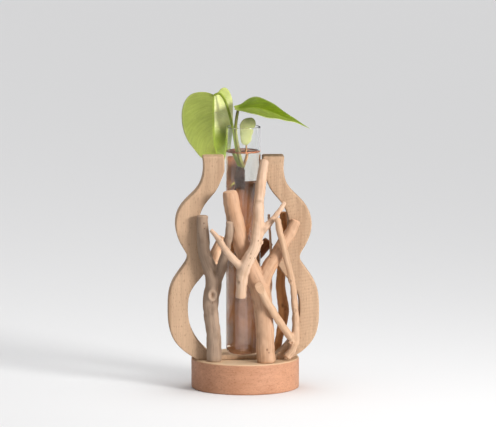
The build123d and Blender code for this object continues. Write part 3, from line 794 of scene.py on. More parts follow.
def see_through(name, tint, refraction, grain, strength):
    """A clear material of a faint tint, its surface faintly uneven with a grain in millimetres."""
    material, tree = new_material(name)
    uneven = grained(tree, in_millimetres(tree), grain, 1.0)
    return finish(
        material, (strength, 0.05, (uneven, 1.0)), Base_Color=shade(linear(tint)), Roughness=0.0,
        IOR=refraction, Transmission_Weight=1.0, Specular_IOR_Level=0.25,
    )


def clear_glass(name):
    """Drawn borosilicate glass: clear, with faint upright draw lines 2.5 mm wide."""
    return see_through(name, "#fdfefe", 1.47, (2.5, 2.5, 160.0), 0.05)


def still_water(name):
    """Tap water that has stood with a cutting in it: clear, with a breath of yellow."""
    return see_through(name, "#fefbf4", 1.333, (9.0, 9.0, 9.0), 0.03)


def meniscus_line_skin(name, colour):
    """Brown ring that paints the dark line which the water's meniscus shows at the glass: thin and patchy."""
    material, tree = new_material(name)
    patch = grained(tree, in_millimetres(tree), (3.0, 3.0, 1.0))
    film = laid_over(tree, shade(colour, 0.7), shade(colour, 1.25), patch, 0.35, 0.65)[0]
    return finish(material, Base_Color=film, Roughness=0.3, IOR=1.33, Transmission_Weight=0.15)


def leaf_skin(name, colour, pale, deep, through):
    """Leaf of a trailing house plant: waxy skin, side veins, and pale streaks along them.

    The UV map holds the way across (midrib at a half) and the way along the blade. The blade's own
    values say where it is pale, painted light on the large leaf's far half and the young leaf's own
    colour, and where it is deep, painted shade. The last value is the share of light that passes into it.
    """
    material, tree = new_material(name)
    place = in_millimetres(tree)
    on_blade = add_node(tree, "SeparateXYZ", {0: add_node(tree, "UVMap", uv_map="UVMap").outputs[0]})
    doubled = weighted_sum(tree, (on_blade.outputs[0], 2.0))
    across = add_node(tree, "Math", {0: doubled, 1: 1.0}, operation="SUBTRACT").outputs[0]
    away = add_node(tree, "Math", {0: across}, operation="ABSOLUTE").outputs[0]
    # Side veins leave the midrib every ninth of the blade, sweep towards the tip and end near the rim
    curved = add_node(tree, "Math", {0: away, 1: 1.4}, operation="POWER").outputs[0]
    swept = weighted_sum(tree, (on_blade.outputs[1], 1.0), (curved, -0.22))
    turned = weighted_sum(tree, (swept, 2 * math.pi * 9))
    crest = add_node(tree, "Math", {0: turned}, operation="SINE").outputs[0]
    crest = add_node(tree, "MapRange", {0: crest, 1: 0.93}).outputs[0]
    inner = add_node(tree, "MapRange", {0: away, 1: 1.0, 2: 0.75}).outputs[0]
    side_vein = add_node(tree, "Math", {0: crest, 1: inner}, operation="MULTIPLY").outputs[0]
    # Clouds 9 mm wide, fine specks 0.8 mm wide, and streaks that follow the side veins
    cloud = grained(tree, place, (9.0, 9.0, 9.0), 3.0, 0.6)
    fine = grained(tree, place, (0.8, 0.8, 0.8), 2.0, 0.6)
    along_veins = add_node(tree, "CombineXYZ", {0: across, 1: swept}).outputs[0]
    streak = grained(tree, along_veins, (0.45, 0.022, 1.0), 3.0, 0.6)
    tone, skin = streaked(
        tree, [(cloud, 0.30), (fine, 0.20), (streak, 0.50)],
        (0.35, shade(colour, 0.84)), (0.65, shade(colour, 1.24, 0.03)),
    )
    # Pale laid on here is painted light and the young leaf's own colour, and deep is painted shade
    for key, dim, bright in (
        ("pale", shade(pale, 0.88), shade(pale, 1.08)), ("deep", shade(deep, 0.8), shade(deep, 1.3)),
    ):
        cover = laid_over(tree, dim, bright, tone, 0.4, 0.6)[0]
        lies = add_node(tree, "Attribute", attribute_name=key).outputs["Fac"]
        skin = laid_over(tree, skin, cover, lies)[0]
    skin = laid_over(tree, skin, shade(pale, 0.95), away, 0.93, 1.0, 0.35)[0]
    skin = laid_over(tree, skin, shade(deep, 1.6), side_vein, most=0.10)[0]
    skin, midrib = laid_over(tree, skin, shade(deep, 1.7), away, 0.05, 0.015, 0.6)
    vein = add_node(tree, "Math", {0: side_vein, 1: midrib}, operation="MAXIMUM").outputs[0]
    return finish(
        material, (0.5, 0.3, (vein, -0.6), (fine, 0.3), (cloud, 0.5)),
        Base_Color=skin, Roughness=0.5, Specular_IOR_Level=0.2, Coat_Weight=0.02, Coat_Roughness=0.3,
        Subsurface_Weight=through, Subsurface_Scale=0.003, Subsurface_Radius=(0.6, 1.0, 0.2),
    )


def stalk_skin(name, colour, dark, length):
    """Leaf stalk or root: smooth living tissue, with stripes of a length and darker scars."""
    material, tree = new_material(name)
    place = in_millimetres(tree)
    stripe = grained(tree, place, (0.8, 0.8, length), 2.0, 0.6)
    patch = grained(tree, place, (3.0, 3.0, 5.0), 3.0, 0.65)
    tone = weighted_sum(tree, (stripe, 0.5), (patch, 0.5))
    return finish(
        material, (0.4, 0.2, (tone, 1.0)),
        Base_Color=laid_over(tree, shade(colour, 1.12), shade(dark), tone, 0.42, 0.66)[0], Roughness=0.45,
        Specular_IOR_Level=0.4, Subsurface_Weight=0.1, Subsurface_Scale=0.002,
        Subsurface_Radius=(0.8, 1.0, 0.3),
    )


def studio_paper(name, colour):
    """Seamless studio paper: matt, with a very faint tooth."""
    material, tree = new_material(name)
    tooth = grained(tree, in_millimetres(tree), (2.0, 2.0, 2.0), 2.0)
    paper = laid_over(tree, shade(colour, 0.99), shade(colour, 1.01), tooth)[0]
    return finish(material, Base_Color=paper, Roughness=0.9, Specular_IOR_Level=0.15)


# Sticks


def on_board(across, up):
    """Shares of the board's half width and height as x and z."""
    return board_middle + across * belly_half_width, disc_top + up * board_height


def stick_stations(shares, girth, front, layer):
    """Stations (x, y, z, radius) of one limb in front of the board, or behind it."""
    stations = []
    for across, up, girth_share, reach in shares:
        radius = girth_share * girth / 2
        x, z = on_board(across, up)
        if front:
            resting = board_front - glue_gap - radius
            target = layer if layer == front_layer else layer - radius
        else:
            resting = board_back + glue_gap + radius
            target = layer + radius
        stations.append((x, resting + reach * (target - resting), z, radius))
    return stations


def waves(share, turns, random):
    """Sum of slow sine waves of random phase along a limb, the shorter ones lower."""
    return sum(np.sin(2 * math.pi * (share * turn + random.uniform())) / turn for turn in turns)


def grown_line(stations, seed):
    """The limb's line with the small wander and swelling of real growth, none at its ends."""
    step, fewest, swelling = 1.4, 24, 0.045
    length = np.linalg.norm(np.subtract(stations[-1], stations[0])[:3])
    steps = max(fewest, int(length / step))
    line = smooth_line(stations, steps)
    share = np.linspace(0, 1, steps)
    calm = np.sin(math.pi * share) ** 0.5
    random = np.random.default_rng(seed)
    for axis, strength in ((0, 1.0), (1, 0.3)):
        line[:, axis] += sizes().wander * strength * waves(share, (1.7, 3.1, 5.3), random) * calm
    line[:, 3] *= 1 + swelling * waves(share, (2.3, 4.7, 7.9), random) * calm
    return line


def along_limbs(points, lines):
    """Each point's straightened place on the nearest limb: to the side, to the back and along.

    Also how far it stands past a limb's free end, or short of it, and that end's direction.
    """
    no_end = -99.0
    # Each limb is shifted along the pattern, so that no two look alike
    limb_shift = 170.0
    best = np.full(len(points), np.inf)
    grain = np.zeros_like(points)
    end_reach = np.full(len(points), no_end)
    end_way = np.zeros_like(points)
    for number, line in enumerate(lines):
        path, radii = line[:, :3], line[:, 3]
        along, side, back = frames(path)
        squared = (points ** 2).sum(1)[:, None] - 2 * points @ path.T + (path ** 2).sum(1)[None]
        nearest = squared.argmin(1)
        offset = points - path[nearest]
        to_side, to_back, ahead = ((offset * way[nearest]).sum(1) for way in (side, back, along))
        passed = distances(path)[nearest] + ahead + limb_shift * number
        ratio = np.linalg.norm(offset, axis=1) / radii[nearest]
        nearer = ratio < best
        best[nearer] = ratio[nearer]
        grain[nearer] = np.stack([to_side, to_back, passed], -1)[nearer]
        at_end = nearest >= len(path) - 2
        end_reach[nearer] = np.where(at_end, (points - path[-1]) @ along[-1], no_end)[nearer]
        end_way[nearer] = along[-1]
        if number == 0:
            start = nearer & (nearest <= 1)
            end_reach[start] = ((path[0] - points) @ along[0])[start]
            end_way[start] = -along[0]
    return grain, end_reach, end_way


def mark_skin(points, normals, stick_marks):
    """Height, darkness and paleness that knots, scars and holes give the points near them.

    A knot is a ring round a dip, exp(-((d - 0.8) / 0.4)^2) - exp(-(d / 0.5)^2) / 2, and a hole or a
    scar is a dip exp(-d^2), where d is the distance in radii.
    """
    height, dark, pale = np.zeros((3, len(points)))
    # A mark's middle is the nearest point to its place among those that face the front
    facing, out_of_reach = normals[:, 1] < -0.35, 1e6
    for across, up, radius, rise, tall, darkness, cut in stick_marks:
        x, z = on_board(across, up)
        off = (points[:, 0] - x) ** 2 + (points[:, 2] - z) ** 2 + np.where(facing, 0.0, out_of_reach)
        away = points - points[off.argmin()]
        far = np.sqrt(away[:, 0] ** 2 + away[:, 1] ** 2 + (away[:, 2] / tall) ** 2) / radius
        dip = np.exp(-far ** 2)
        if rise > 0:
            height += rise * (np.exp(-((far - 0.8) / 0.4) ** 2) - 0.5 * np.exp(-(far / 0.5) ** 2))
        else:
            height += rise * dip
        dark = np.maximum(dark, darkness * dip)
        pale = np.maximum(pale, cut * np.exp(-far ** 4))
    return height, dark, pale


def sliced(points, line, slant, reach):
    """Cuts the limb's far end along a slanting plane that faces the front, and says what was cut.

    Points beyond the plane fall back on it. The slant is the share of the limb's own direction in
    the plane's normal.
    """
    end = line[-1, :3]
    way = unit(end - line[-4, :3])
    normal = unit(slant * way + (1 - slant) * np.array([0.0, -1.0, 0.0]))
    beyond = (points - end - np.array([0.0, line[-1, 3], 0.0])) @ normal
    cut = (np.linalg.norm(points - end, axis=1) < reach) & (beyond > 0)
    return np.where(cut[:, None], points - beyond[:, None] * normal, points), cut


def dress_stick(node, name, shares, front, layer, material, seed):
    """A stick's dressed piece, which stands for its CAD node."""
    lines = [
        grown_line(stick_stations(limb, girths[name], front, layer), seed + 10 * number)
        for number, limb in enumerate(shares)
    ]
    # The first limb's foot is cut flat, and the others start inside it under a dome
    skins = [tube_skin(line, 40, (0.6 if number else 0.0, 0.10)) for number, line in enumerate(lines)]
    points, quads = melted(skins, sizes().skin_step)
    points = relaxed(points, quads, 14, 0.5)
    normals = skin_normals(points, quads)
    grain, end_reach, end_way = along_limbs(points, lines)
    # Lumps about 11 and 5 mm long, and grooves about 2.2 and 1.3 mm wide that follow the fibres
    seeds = np.random.default_rng(seed).integers(0, 10 ** 6, 4)
    lumps = ripple(points, 11.0, seeds[0]) + 0.5 * ripple(points, 5.0, seeds[1])
    grooves = ripple(grain, (2.2, 2.2, 40.0), seeds[2]) + 0.6 * ripple(grain, (1.3, 1.3, 24.0), seeds[3])
    height, dark, pale = mark_skin(points, normals, marks.get(name, []))
    # Close to a free end the relief fades out, and the face that looks along the limb is sawn wood
    flat_end = np.clip((end_reach + 1.6) / 0.8, 0, 1)
    cut = flat_end * np.clip(((normals * end_way).sum(1) - 0.55) / 0.25, 0, 1)
    relief = sizes().relief * (0.9 * lumps + 0.22 * grooves) * (1 - flat_end) + height
    points = points + normals * relief[:, None]
    # Painted shade lies in the deepest grooves and in the deepest dips between the lumps
    hollow_shade = np.clip(-grooves - 0.8, 0, 1) * 0.5 + np.clip(-lumps - 1.2, 0, 1) * 0.3
    points[:, 2] = np.maximum(points[:, 2], disc_top)
    cut = np.maximum(cut, pale)
    if name in slants:
        limb, slant, reach = slants[name]
        points, oblique = sliced(points, lines[limb], slant, reach)
        cut = np.maximum(cut, oblique)
    values = {"grain": grain, "knot": dark, "cut": cut, "hollow_shade": hollow_shade}
    add_piece(node + "_stick", (points, quads, NO_TRIANGLES), "stand", material, (node,), values)


# Board, disc and tube


def half_board():
    """Inner and outer edge points (x, z) of the right half, from the middle of the foot to the top."""
    fine, wall_steps, foot_steps = 700, 230, 46
    slot_foot, foot_reach = 0.925 * board_height, 0.42 * belly_half_width
    outer = smooth_line([(x * belly_half_width, 0.0, z * board_height) for x, z in outer_outline], fine)
    opening = belly_half_width - slot_half_width
    inner_points = [(slot_half_width, 0.0, slot_foot)]
    inner_points += [(slot_half_width + x * opening, 0.0, z * board_height) for x, z in inner_outline]
    inner_points += [(foot_reach, 0.0, bottom_band)]
    inner = smooth_line(inner_points, fine)[::-1]
    heights = np.linspace(inner_outline[-1][1] * board_height, board_height - edge_round, wall_steps)
    inner_x = np.interp(heights, inner[:, 2], inner[:, 0])
    inner_x = np.where(heights > slot_foot, slot_half_width, inner_x)
    outer_x = np.interp(heights, outer[:, 2], outer[:, 0])
    edges = []
    for start, line, wall in ((bottom_band, inner, inner_x), (0.0, outer, outer_x)):
        below = line[line[:, 2] < heights[0]][:, [0, 2]]
        foot = evenly(np.concatenate([[(0.0, start)], below, [(wall[0], heights[0])]]), foot_steps)
        edges.append(np.concatenate([foot[:-1], np.stack([wall, heights], -1)]))
    return edges


def evenly(line, steps):
    """A flat line at even steps of its length."""
    reached = distances(line)
    at = np.linspace(0.0, reached[-1], steps)
    return np.stack([np.interp(at, reached, line[:, 0]), np.interp(at, reached, line[:, 1])], -1)


def board_section():
    """The plank's section, as a loop: share of the width, offset across, and depth.

    Its second half, up the back, is its first half turned about the section's middle.
    """
    arc = np.linspace(0, math.pi / 2, 5)
    quarter = [(edge_round * (1 - math.cos(a)), edge_round * (1 - math.sin(a))) for a in arc]
    half = [(0.0, across, board_front + deep) for across, deep in quarter]
    inset = edge_round + past_round
    half += [(share, inset * (1 - 2 * share), board_front) for share in np.linspace(0.0, 1.0, 13)]
    half += [(1.0, -across, board_front + deep) for across, deep in reversed(quarter)]
    half += [(1.0, 0.0, board_front + share * 2 * half_thickness) for share in np.linspace(0.12, 0.88, 7)]
    return np.concatenate([half, np.array([1.0, 0.0, 2 * board_depth]) - half])


def board_skin():
    """The plank's section carried round the gourd, from one prong over the foot to the other.

    Point = inner edge + (outer - inner) share + across offset, at the section's depth.
    """
    inner, outer = (np.concatenate([edge[:0:-1] * (-1, 1), edge]) for edge in half_board())
    section = board_section()
    wide = np.linalg.norm(outer - inner, axis=1)
    way = (outer - inner) / wide[:, None]
    across = section[None, :, 0] * wide[:, None] + section[None, :, 1]
    flat = inner[:, None] + way[:, None] * across[..., None]
    depths = np.broadcast_to(section[:, 2], flat.shape[:2])
    rings = np.stack([board_middle + flat[..., 0], depths, disc_top + flat[..., 1]], -1)
    # The prongs' tops are rounded over by rings that draw in as they rise
    top_rings = 5
    right_top = np.repeat(rings[-1:], top_rings, axis=0)
    for ring, angle in zip(right_top, np.linspace(0, math.pi / 2, top_rings + 1)[1:]):
        draw = edge_round * (1 - math.cos(angle))
        middle = ring[:, 0].mean()
        half = np.abs(ring[:, 0] - middle).max()
        ring[:, 0] = middle + (ring[:, 0] - middle) * (half - draw) / half
        ring[:, 1] = board_depth + (ring[:, 1] - board_depth) * (half_thickness - draw) / half_thickness
        ring[:, 2] += edge_round * math.sin(angle)
    left_top = right_top[::-1].copy()
    left_top[..., 0] = 2 * board_middle - left_top[..., 0]
    return closed_rings(np.concatenate([left_top, rings, right_top]))


def disc_skin():
    """The disc's profile turned about its axis, with softened rims."""
    inner, pole = disc_radius - edge_round, 0.5
    flat = inner - past_round
    sides = np.linspace(edge_round + past_round, disc_top - edge_round - past_round, 9)
    profile = [(pole, 0.0), (disc_radius * 0.5, 0.0), (flat, 0.0)]
    profile += rounded((inner, edge_round), edge_round, -90, 0)
    profile += [(disc_radius, z) for z in sides]
    profile += rounded((inner, disc_top - edge_round), edge_round, 0, 90)
    profile += [(x, disc_top) for x in (flat, disc_radius * 0.7, disc_radius * 0.35, pole)]
    return turned_skin(profile, (0.0, 0.0), 256)


def tube_profile():
    """Glass tube from the middle of its foot, up the outside, over the rim and down the inside."""
    top, rim, past_rim, pole = tube_bottom + tube_length, tube_wall / 2, 0.5, 0.4
    inner_corner = tube_corner - tube_wall
    bend = tube_bottom + tube_corner
    wall = np.linspace(bend + past_bend, top - rim - past_rim, 40)
    profile = [(pole, tube_bottom)]
    profile += rounded((tube_radius - tube_corner, bend), tube_corner, -90, 0, 12)
    profile += [(tube_radius, z) for z in wall]
    profile += rounded((tube_radius - rim, top - rim), rim, 0, 180, 12)
    profile += [(bore_radius, z) for z in wall[::-1]]
    profile += rounded((bore_radius - inner_corner, bend), inner_corner, 0, -90, 12)
    return profile + [(pole, tube_bottom + tube_wall)]


def water_profile(level):
    """Water from the middle of the tube's foot up its wall, with a cubic meniscus.

    It reaches a hair into the glass, so that no air shows between them.
    """
    hair, pole, meniscus_wide, meniscus_high = 0.03, 0.4, 2.4, 1.2
    wet = bore_radius + hair
    inner_corner = tube_corner - tube_wall
    bend = tube_bottom + tube_corner
    profile = [(pole, tube_bottom + tube_wall - hair)]
    profile += rounded((wet - inner_corner, bend), inner_corner + hair, -90, 0, 12)
    profile += [(wet, z) for z in np.linspace(bend + past_bend, level, 30)]
    profile += [
        (wet - meniscus_wide * t, level + meniscus_high * (1 - t) ** 3) for t in np.linspace(0, 1, 10)
    ]
    return profile + [(wet * 0.5, level), (pole, level)]


# Cutting


def on_tube(across, back, up):
    """Shares of the bore radius and the tube's length as a place."""
    x = tube_middle[0] + across * bore_radius
    y = tube_middle[1] + back * bore_radius
    return x, y, tube_bottom + up * tube_length


def cutting_line(shares, girth, steps):
    """Smooth line of a stem, stalk or root."""
    return smooth_line([(*on_tube(*share[:3]), share[3] * girth / 2) for share in shares], steps)


def at_shares(line, shares):
    """Points of a line at shares of its steps."""
    steps = np.linspace(0, 1, len(line))
    return np.stack([np.interp(shares, steps, line[:, axis]) for axis in range(3)], -1)


def blade_skin(midrib, left, right, crown, waviness, rows=90, half=22):
    """A leaf blade between its midrib and its two edges, all lines of (x, y, z), and its UV map.

    Point = midrib(v) + |u| (edge(v) - midrib(v)) + lift along the blade's normal. The lift is
    4 crown |u| (1 - |u|) where a side is 20 mm wide, and less where it is narrower, and the rim
    waves. The midrib runs slower at the stalk, where the edges sweep round the lobes. The underside
    repeats the upper side, a blade's thickness below it.
    """
    fine, midrib_pace, wave_count, wave_start, crowned_width = 400, 1.35, 4.2, 0.3, 20.0
    middle_line, left_line, right_line = (smooth_line(line, fine) for line in (midrib, left, right))
    v = np.linspace(0.0, 1.0, rows)
    u = np.linspace(-1.0, 1.0, 2 * half + 1)
    away = np.abs(u)
    middle = at_shares(middle_line, v ** midrib_pace)[:, None]
    left_edge, right_edge = at_shares(left_line, v)[:, None], at_shares(right_line, v)[:, None]
    edge = np.where((u < 0)[None, :, None], left_edge, right_edge)
    sheet = middle + away[None, :, None] * (edge - middle)
    normal = np.nan_to_num(unit(np.cross(np.gradient(sheet, axis=1), np.gradient(sheet, axis=0))))
    normal[:2] = normal[2]
    normal[-1] = normal[-2]
    wide = np.linalg.norm(edge - middle, axis=-1)
    lift = crown * 4 * away * (1 - away) * wide / crowned_width
    turns = 2 * math.pi * (v[:, None] * wave_count + wave_start)
    wave = waviness * away ** 3 * np.sin(turns) * np.sin(math.pi * v)[:, None]
    sheet = sheet + normal * (lift + wave)[..., None]
    # The blade is thinner towards the stalk and the tip
    thin = sizes().blade_thickness * (0.35 + 0.65 * np.sin(math.pi * np.clip(v, 0.02, 0.98)) ** 0.4)
    under = sheet + normal * -thin[:, None, None]
    skin = closed_rings(np.concatenate([sheet, under[:, ::-1]], axis=1))
    uv_row = np.concatenate([(u + 1) / 2, ((u + 1) / 2)[::-1]])
    uv = np.stack(np.broadcast_arrays(uv_row[None], v[:, None]), -1).reshape(-1, 2)
    return skin, np.concatenate([uv, [(0.5, 0.0), (0.5, 1.0)]])


def placed_lines(name):
    """A leaf's midrib and its two edges in their place, from where its stalk ends.

    Each row of the facing says where one direction of the shares points.
    """
    girth, shares = stalks[name + "_petiole"]
    joint = np.array(on_tube(*shares[-1][:3]))
    radius = shares[-1][3] * girth / 2
    if name == "large":
        joint[1] = board_back + large_leaf_gap
        facing = (1, 0, 0), (0, 0, 1), (0, -1, 0)
    elif name == "right":
        joint += (-2 * radius, 0.0, glue_gap + radius)
        droop_cos, droop_sin = math.cos(right_leaf_droop), math.sin(right_leaf_droop)
        tilt_cos, tilt_sin = math.cos(right_leaf_tilt), math.sin(right_leaf_tilt)
        facing = (
            (droop_cos, 0, -droop_sin), (tilt_sin * droop_sin, tilt_cos, tilt_sin * droop_cos),
            (tilt_cos * droop_sin, -tilt_sin, tilt_cos * droop_cos),
        )
    else:
        joint[1] -= radius + glue_gap
        facing = (0, 0, 1), (-1, 0, 0), (0, -1, 0)
    return [joint + leaf_lengths[name] * np.array(line) @ np.array(facing) for line in leaf_lines[name]]


def held_share(values, low, high):
    """Share of the way from one value to another, held between zero and one and eased."""
    share = np.clip((values - low) / (high - low), 0, 1)
    return share * share * (3 - 2 * share)


def large_tones(across, along):
    """The large leaf has pale painted light beyond its fold but for its lobe, and deep green painted shade
    low down.
    """
    beyond = held_share(across, 0.50, 0.515)
    low_down = held_share(along, 0.50, 0.72)
    lobe = held_share(across, 0.62, 0.85) * (1 - held_share(along, 0.25, 0.45))
    return 0.9 * beyond * (1 - low_down) * (1 - 0.9 * lobe), 0.75 * beyond * low_down


def right_tones(across, along):
    """The right leaf is deep green, painted shade, most on its far side, and paler at the stalk and the tip.
    """
    deep = (0.68 + 0.32 * held_share(across, 0.42, 0.55)) * (1 - 0.35 * held_share(along, 0.65, 1.0))
    return 0.2 * held_share(along, 0.9, 1.0), deep * (0.35 + 0.65 * held_share(along, 0.04, 0.14))


def small_tones(across, along):
    """The young leaf is pale all over, greener at its stalk."""
    return 0.85 * held_share(along, 0.05, 0.35), np.zeros_like(along)


def fine_root(number, seed):
    """One new root: a thin line that leaves the stem and wanders downwards in the tube.

    Its reach is in bore radii, and its start and its drop are in tube lengths.
    """
    random = np.random.default_rng(seed + number)
    turn = random.uniform(0, 2 * math.pi)
    reach = random.uniform(0.25, 0.45)
    start = random.uniform(0.745, 0.79)
    drop = random.uniform(0.02, 0.055)
    across, back = stem_line[0][:2]
    stations = [(across, back, start, 1.0)]
    for step in (0.35, 0.7, 1.0):
        bend = turn + random.uniform(-0.5, 0.5)
        stations.append((
            across + reach * step * math.cos(bend), back + reach * step * math.sin(bend),
            start - drop * step ** 1.5, 1.0 - 0.6 * step,
        ))
    return cutting_line(stations, new_root_girth, 18)


# Operators


class VASE_OT_stage(bpy.types.Operator):
    """Paper floor, soft lights and the photograph's camera"""
    bl_idname = "vase.stage"
    bl_label = "Stage"

    def execute(self, context):
        self.add_floor()
        self.add_lights()
        self.add_surround()
        self.add_camera()
        return {"FINISHED"}

    def add_floor(self):
        """A level sheet of paper that reaches past every view, so that it is the background too."""
        reach = np.array([-30.0, -2.0, 2.0, 30.0])
        across, depth = np.meshgrid(reach, reach)
        points = np.stack([across, depth, np.zeros_like(across)], -1).reshape(-1, 3)
        quads = grid_quads(len(reach), len(reach), False)
        mesh = made_mesh("studio_floor", points, quads, NO_TRIANGLES)
        mesh.materials.append(studio_paper("studio_paper", colours().floor))
        add_object("studio_floor", mesh)

    def add_lights(self):
        """A low key from the front right and a weak warm fill from the front left, in metres and watts."""
        for name, place, aim, size, watts, tint in (
            ("key_light", (1.0, -1.0, 0.48), (0.0, 0.0, 0.11), 0.42, 2.7, (1.0, 0.99, 0.97)),
            ("fill_light", (-1.7, -1.5, 0.6), (0.0, 0.0, 0.1), 1.6, 0.2, (1.0, 0.86, 0.72)),
        ):
            lamp = bpy.data.lights.new(name, "AREA")
            lamp.energy = watts
            lamp.size = size
            lamp.spread = math.radians(60)
            lamp.color = tint
            light = add_object(name, lamp)
            light.location = place
            x, y, z = np.subtract(aim, place)
            light.rotation_euler = (math.atan2(math.hypot(x, y), -z), 0.0, math.atan2(y, x) - math.pi / 2)

    def add_surround(self):
        """A white surround that is bright overhead and dim at the sides."""
        world = bpy.data.worlds.new("studio_surround")
        world.use_nodes = True
        tree = world.node_tree
        way = add_node(tree, "TexCoord").outputs["Generated"]
        height = add_node(tree, "SeparateXYZ", {0: way}).outputs[2]
        strength = add_node(tree, "MapRange", {0: height, 1: 0.8, 2: 1.0, 3: 0.06, 4: 4.2}).outputs[0]
        surround = tree.nodes["Background"]
        surround.inputs["Color"].default_value = (1.0, 1.0, 1.0, 1.0)
        tree.links.new(strength, surround.inputs["Strength"])
        bpy.context.scene.world = world
        bpy.context.scene.view_settings.view_transform = "Standard"

    def add_camera(self):
        """A long lens about four metres away, a little left of the front and looking slightly down.

        It is pitched so that the disc's top lies as many pixels below the photograph's middle as it
        does there. Lens and sensor are in millimetres, and distances in metres.
        """
        distance, height, slide, turn = 4.1, 0.69, 0.00205, math.radians(3.0)
        lens, sensor, photo_width, disc_row_below_middle = 416.0, 36.0, 496.0, 143.0
        lens_data = bpy.data.cameras.new("photo_camera")
        lens_data.lens = lens
        lens_data.sensor_width = sensor
        lens_data.clip_end = 50.0
        camera = add_object("photo_camera", lens_data)
        x = slide * math.cos(turn) - distance * math.sin(turn)
        y = -slide * math.sin(turn) - distance * math.cos(turn)
        camera.location = (x, y, height)
        below_axis = math.atan(disc_row_below_middle / (lens / sensor * photo_width))
        pitch = math.atan((height - disc_top * MILLIMETRE) / distance) - below_axis
        camera.rotation_euler = (math.pi / 2 - pitch, 0.0, -turn)
        bpy.context.scene.camera = camera


class VASE_OT_disc(bpy.types.Operator):
    """Round wooden disc with its sanded finish"""
    bl_idname = "vase.disc"
    bl_label = "Disc"

    def execute(self, context):
        wood = sanded_disc("sanded_softwood", colours().disc_wood, colours().disc_top)
        add_piece("base_disc_turned", disc_skin(), "stand", wood, ("base_disc",))
        return {"FINISHED"}


class VASE_OT_board(bpy.types.Operator):
    """Gourd board sawn from one plank"""
    bl_idname = "vase.board"
    bl_label = "Gourd board"

    def execute(self, context):
        wood = sawn_plank("sawn_softwood", colours().board_wood)
        add_piece("gourd_board", board_skin(), "stand", wood, ("gourd_frame",))
        return {"FINISHED"}


class VASE_OT_screws(bpy.types.Operator):
    """Zinc finish on the screws under the disc"""
    bl_idname = "vase.screws"
    bl_label = "Screws"

    def execute(self, context):
        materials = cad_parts["frame_screws"].data.materials
        materials.clear()
        materials.append(zinc_screw("zinc_plated_steel"))
        return {"FINISHED"}


class VASE_OT_front_sticks(bpy.types.Operator):
    """Forked driftwood glued on the board's front"""
    bl_idname = "vase.front_sticks"
    bl_label = "Front sticks"

    def execute(self, context):
        set_to = colours()
        grey = driftwood("weathered_driftwood", set_to.grey_wood, 0.75, 0.8, 0.72)
        tan = driftwood("tan_driftwood", set_to.tan_wood, 0.5)
        cream = driftwood("cream_driftwood", set_to.cream_wood, 0.42)
        pink = driftwood("pinkish_driftwood", set_to.pink_wood, 0.46)
        for name, node, slot, wood, layer, seed in (
            ("grey", "grey_fork", "grey_wood", grey, front_layer, 11),
            ("main", "main_fork", "tan_wood", tan, front_layer, 23),
            ("cream", "cream_fork", "cream_wood", cream, outer_layer, 37),
            ("vee", "right_vee", "pink_wood", pink, outer_layer, 41),
        ):
            dress_stick(node, name, front_sticks[name], True, layer, wood, seed)
        return {"FINISHED"}


class VASE_OT_rear_sticks(bpy.types.Operator):
    """Sticks behind the board and the tube: a darker branch, painted shade on the upright and the brace, and
    painted light on the twig
    """
    bl_idname = "vase.rear_sticks"
    bl_label = "Rear sticks"

    def execute(self, context):
        set_to = colours()
        for name, kind, colour, streak, seed in (
            ("branch", "brown", set_to.brown_wood, 0.4, 50),
            # The twig is the cream wood lightened: painted light where the board shades it
            ("twig", "pale", shade(set_to.cream_wood, 1.25)[:3], 0.3, 51),
            # The upright's darker wood is painted shade
            ("upright", "shaded", set_to.painted_shade_wood, 0.4, 52),
            # The brace is the tan wood darkened: painted shade
            ("brace", "dull", shade(set_to.tan_wood, 0.8)[:3], 0.4, 53),
        ):
            wood = driftwood(kind + "_driftwood", colour, streak)
            dress_stick("rear_" + name, name, rear_sticks[name], False, rear_layer, wood, seed)
        return {"FINISHED"}


class VASE_OT_tube(bpy.types.Operator):
    """Glass tube and the water in it"""
    bl_idname = "vase.tube"
    bl_label = "Tube and water"

    def execute(self, context):
        level = tube_bottom + sizes().water_level * tube_length
        film_inset, film_rise, film_wide, film_high = 0.6, 0.45, 0.45, 0.55
        glass = turned_skin(tube_profile(), tube_middle[:2], 128)
        filling = turned_skin(water_profile(level), tube_middle[:2], 128)
        film = turned_ring(bore_radius - film_inset, level + film_rise, film_wide, film_high)
        clear = clear_glass("borosilicate_glass")
        tube = add_piece("glass_tube", glass, "tube", clear, ("test_tube",))
        water = add_piece("water", filling, "tube", still_water("standing_water"))
        # Clear glass and water throw next to no shadow
        tube.visible_shadow = False
        water.visible_shadow = False
        # A brown ring at the water's edge paints the meniscus's dark line
        brown = meniscus_line_skin("painted_meniscus_line", colours().waterline)
        add_piece("waterline_film", film, "tube", brown)
        return {"FINISHED"}


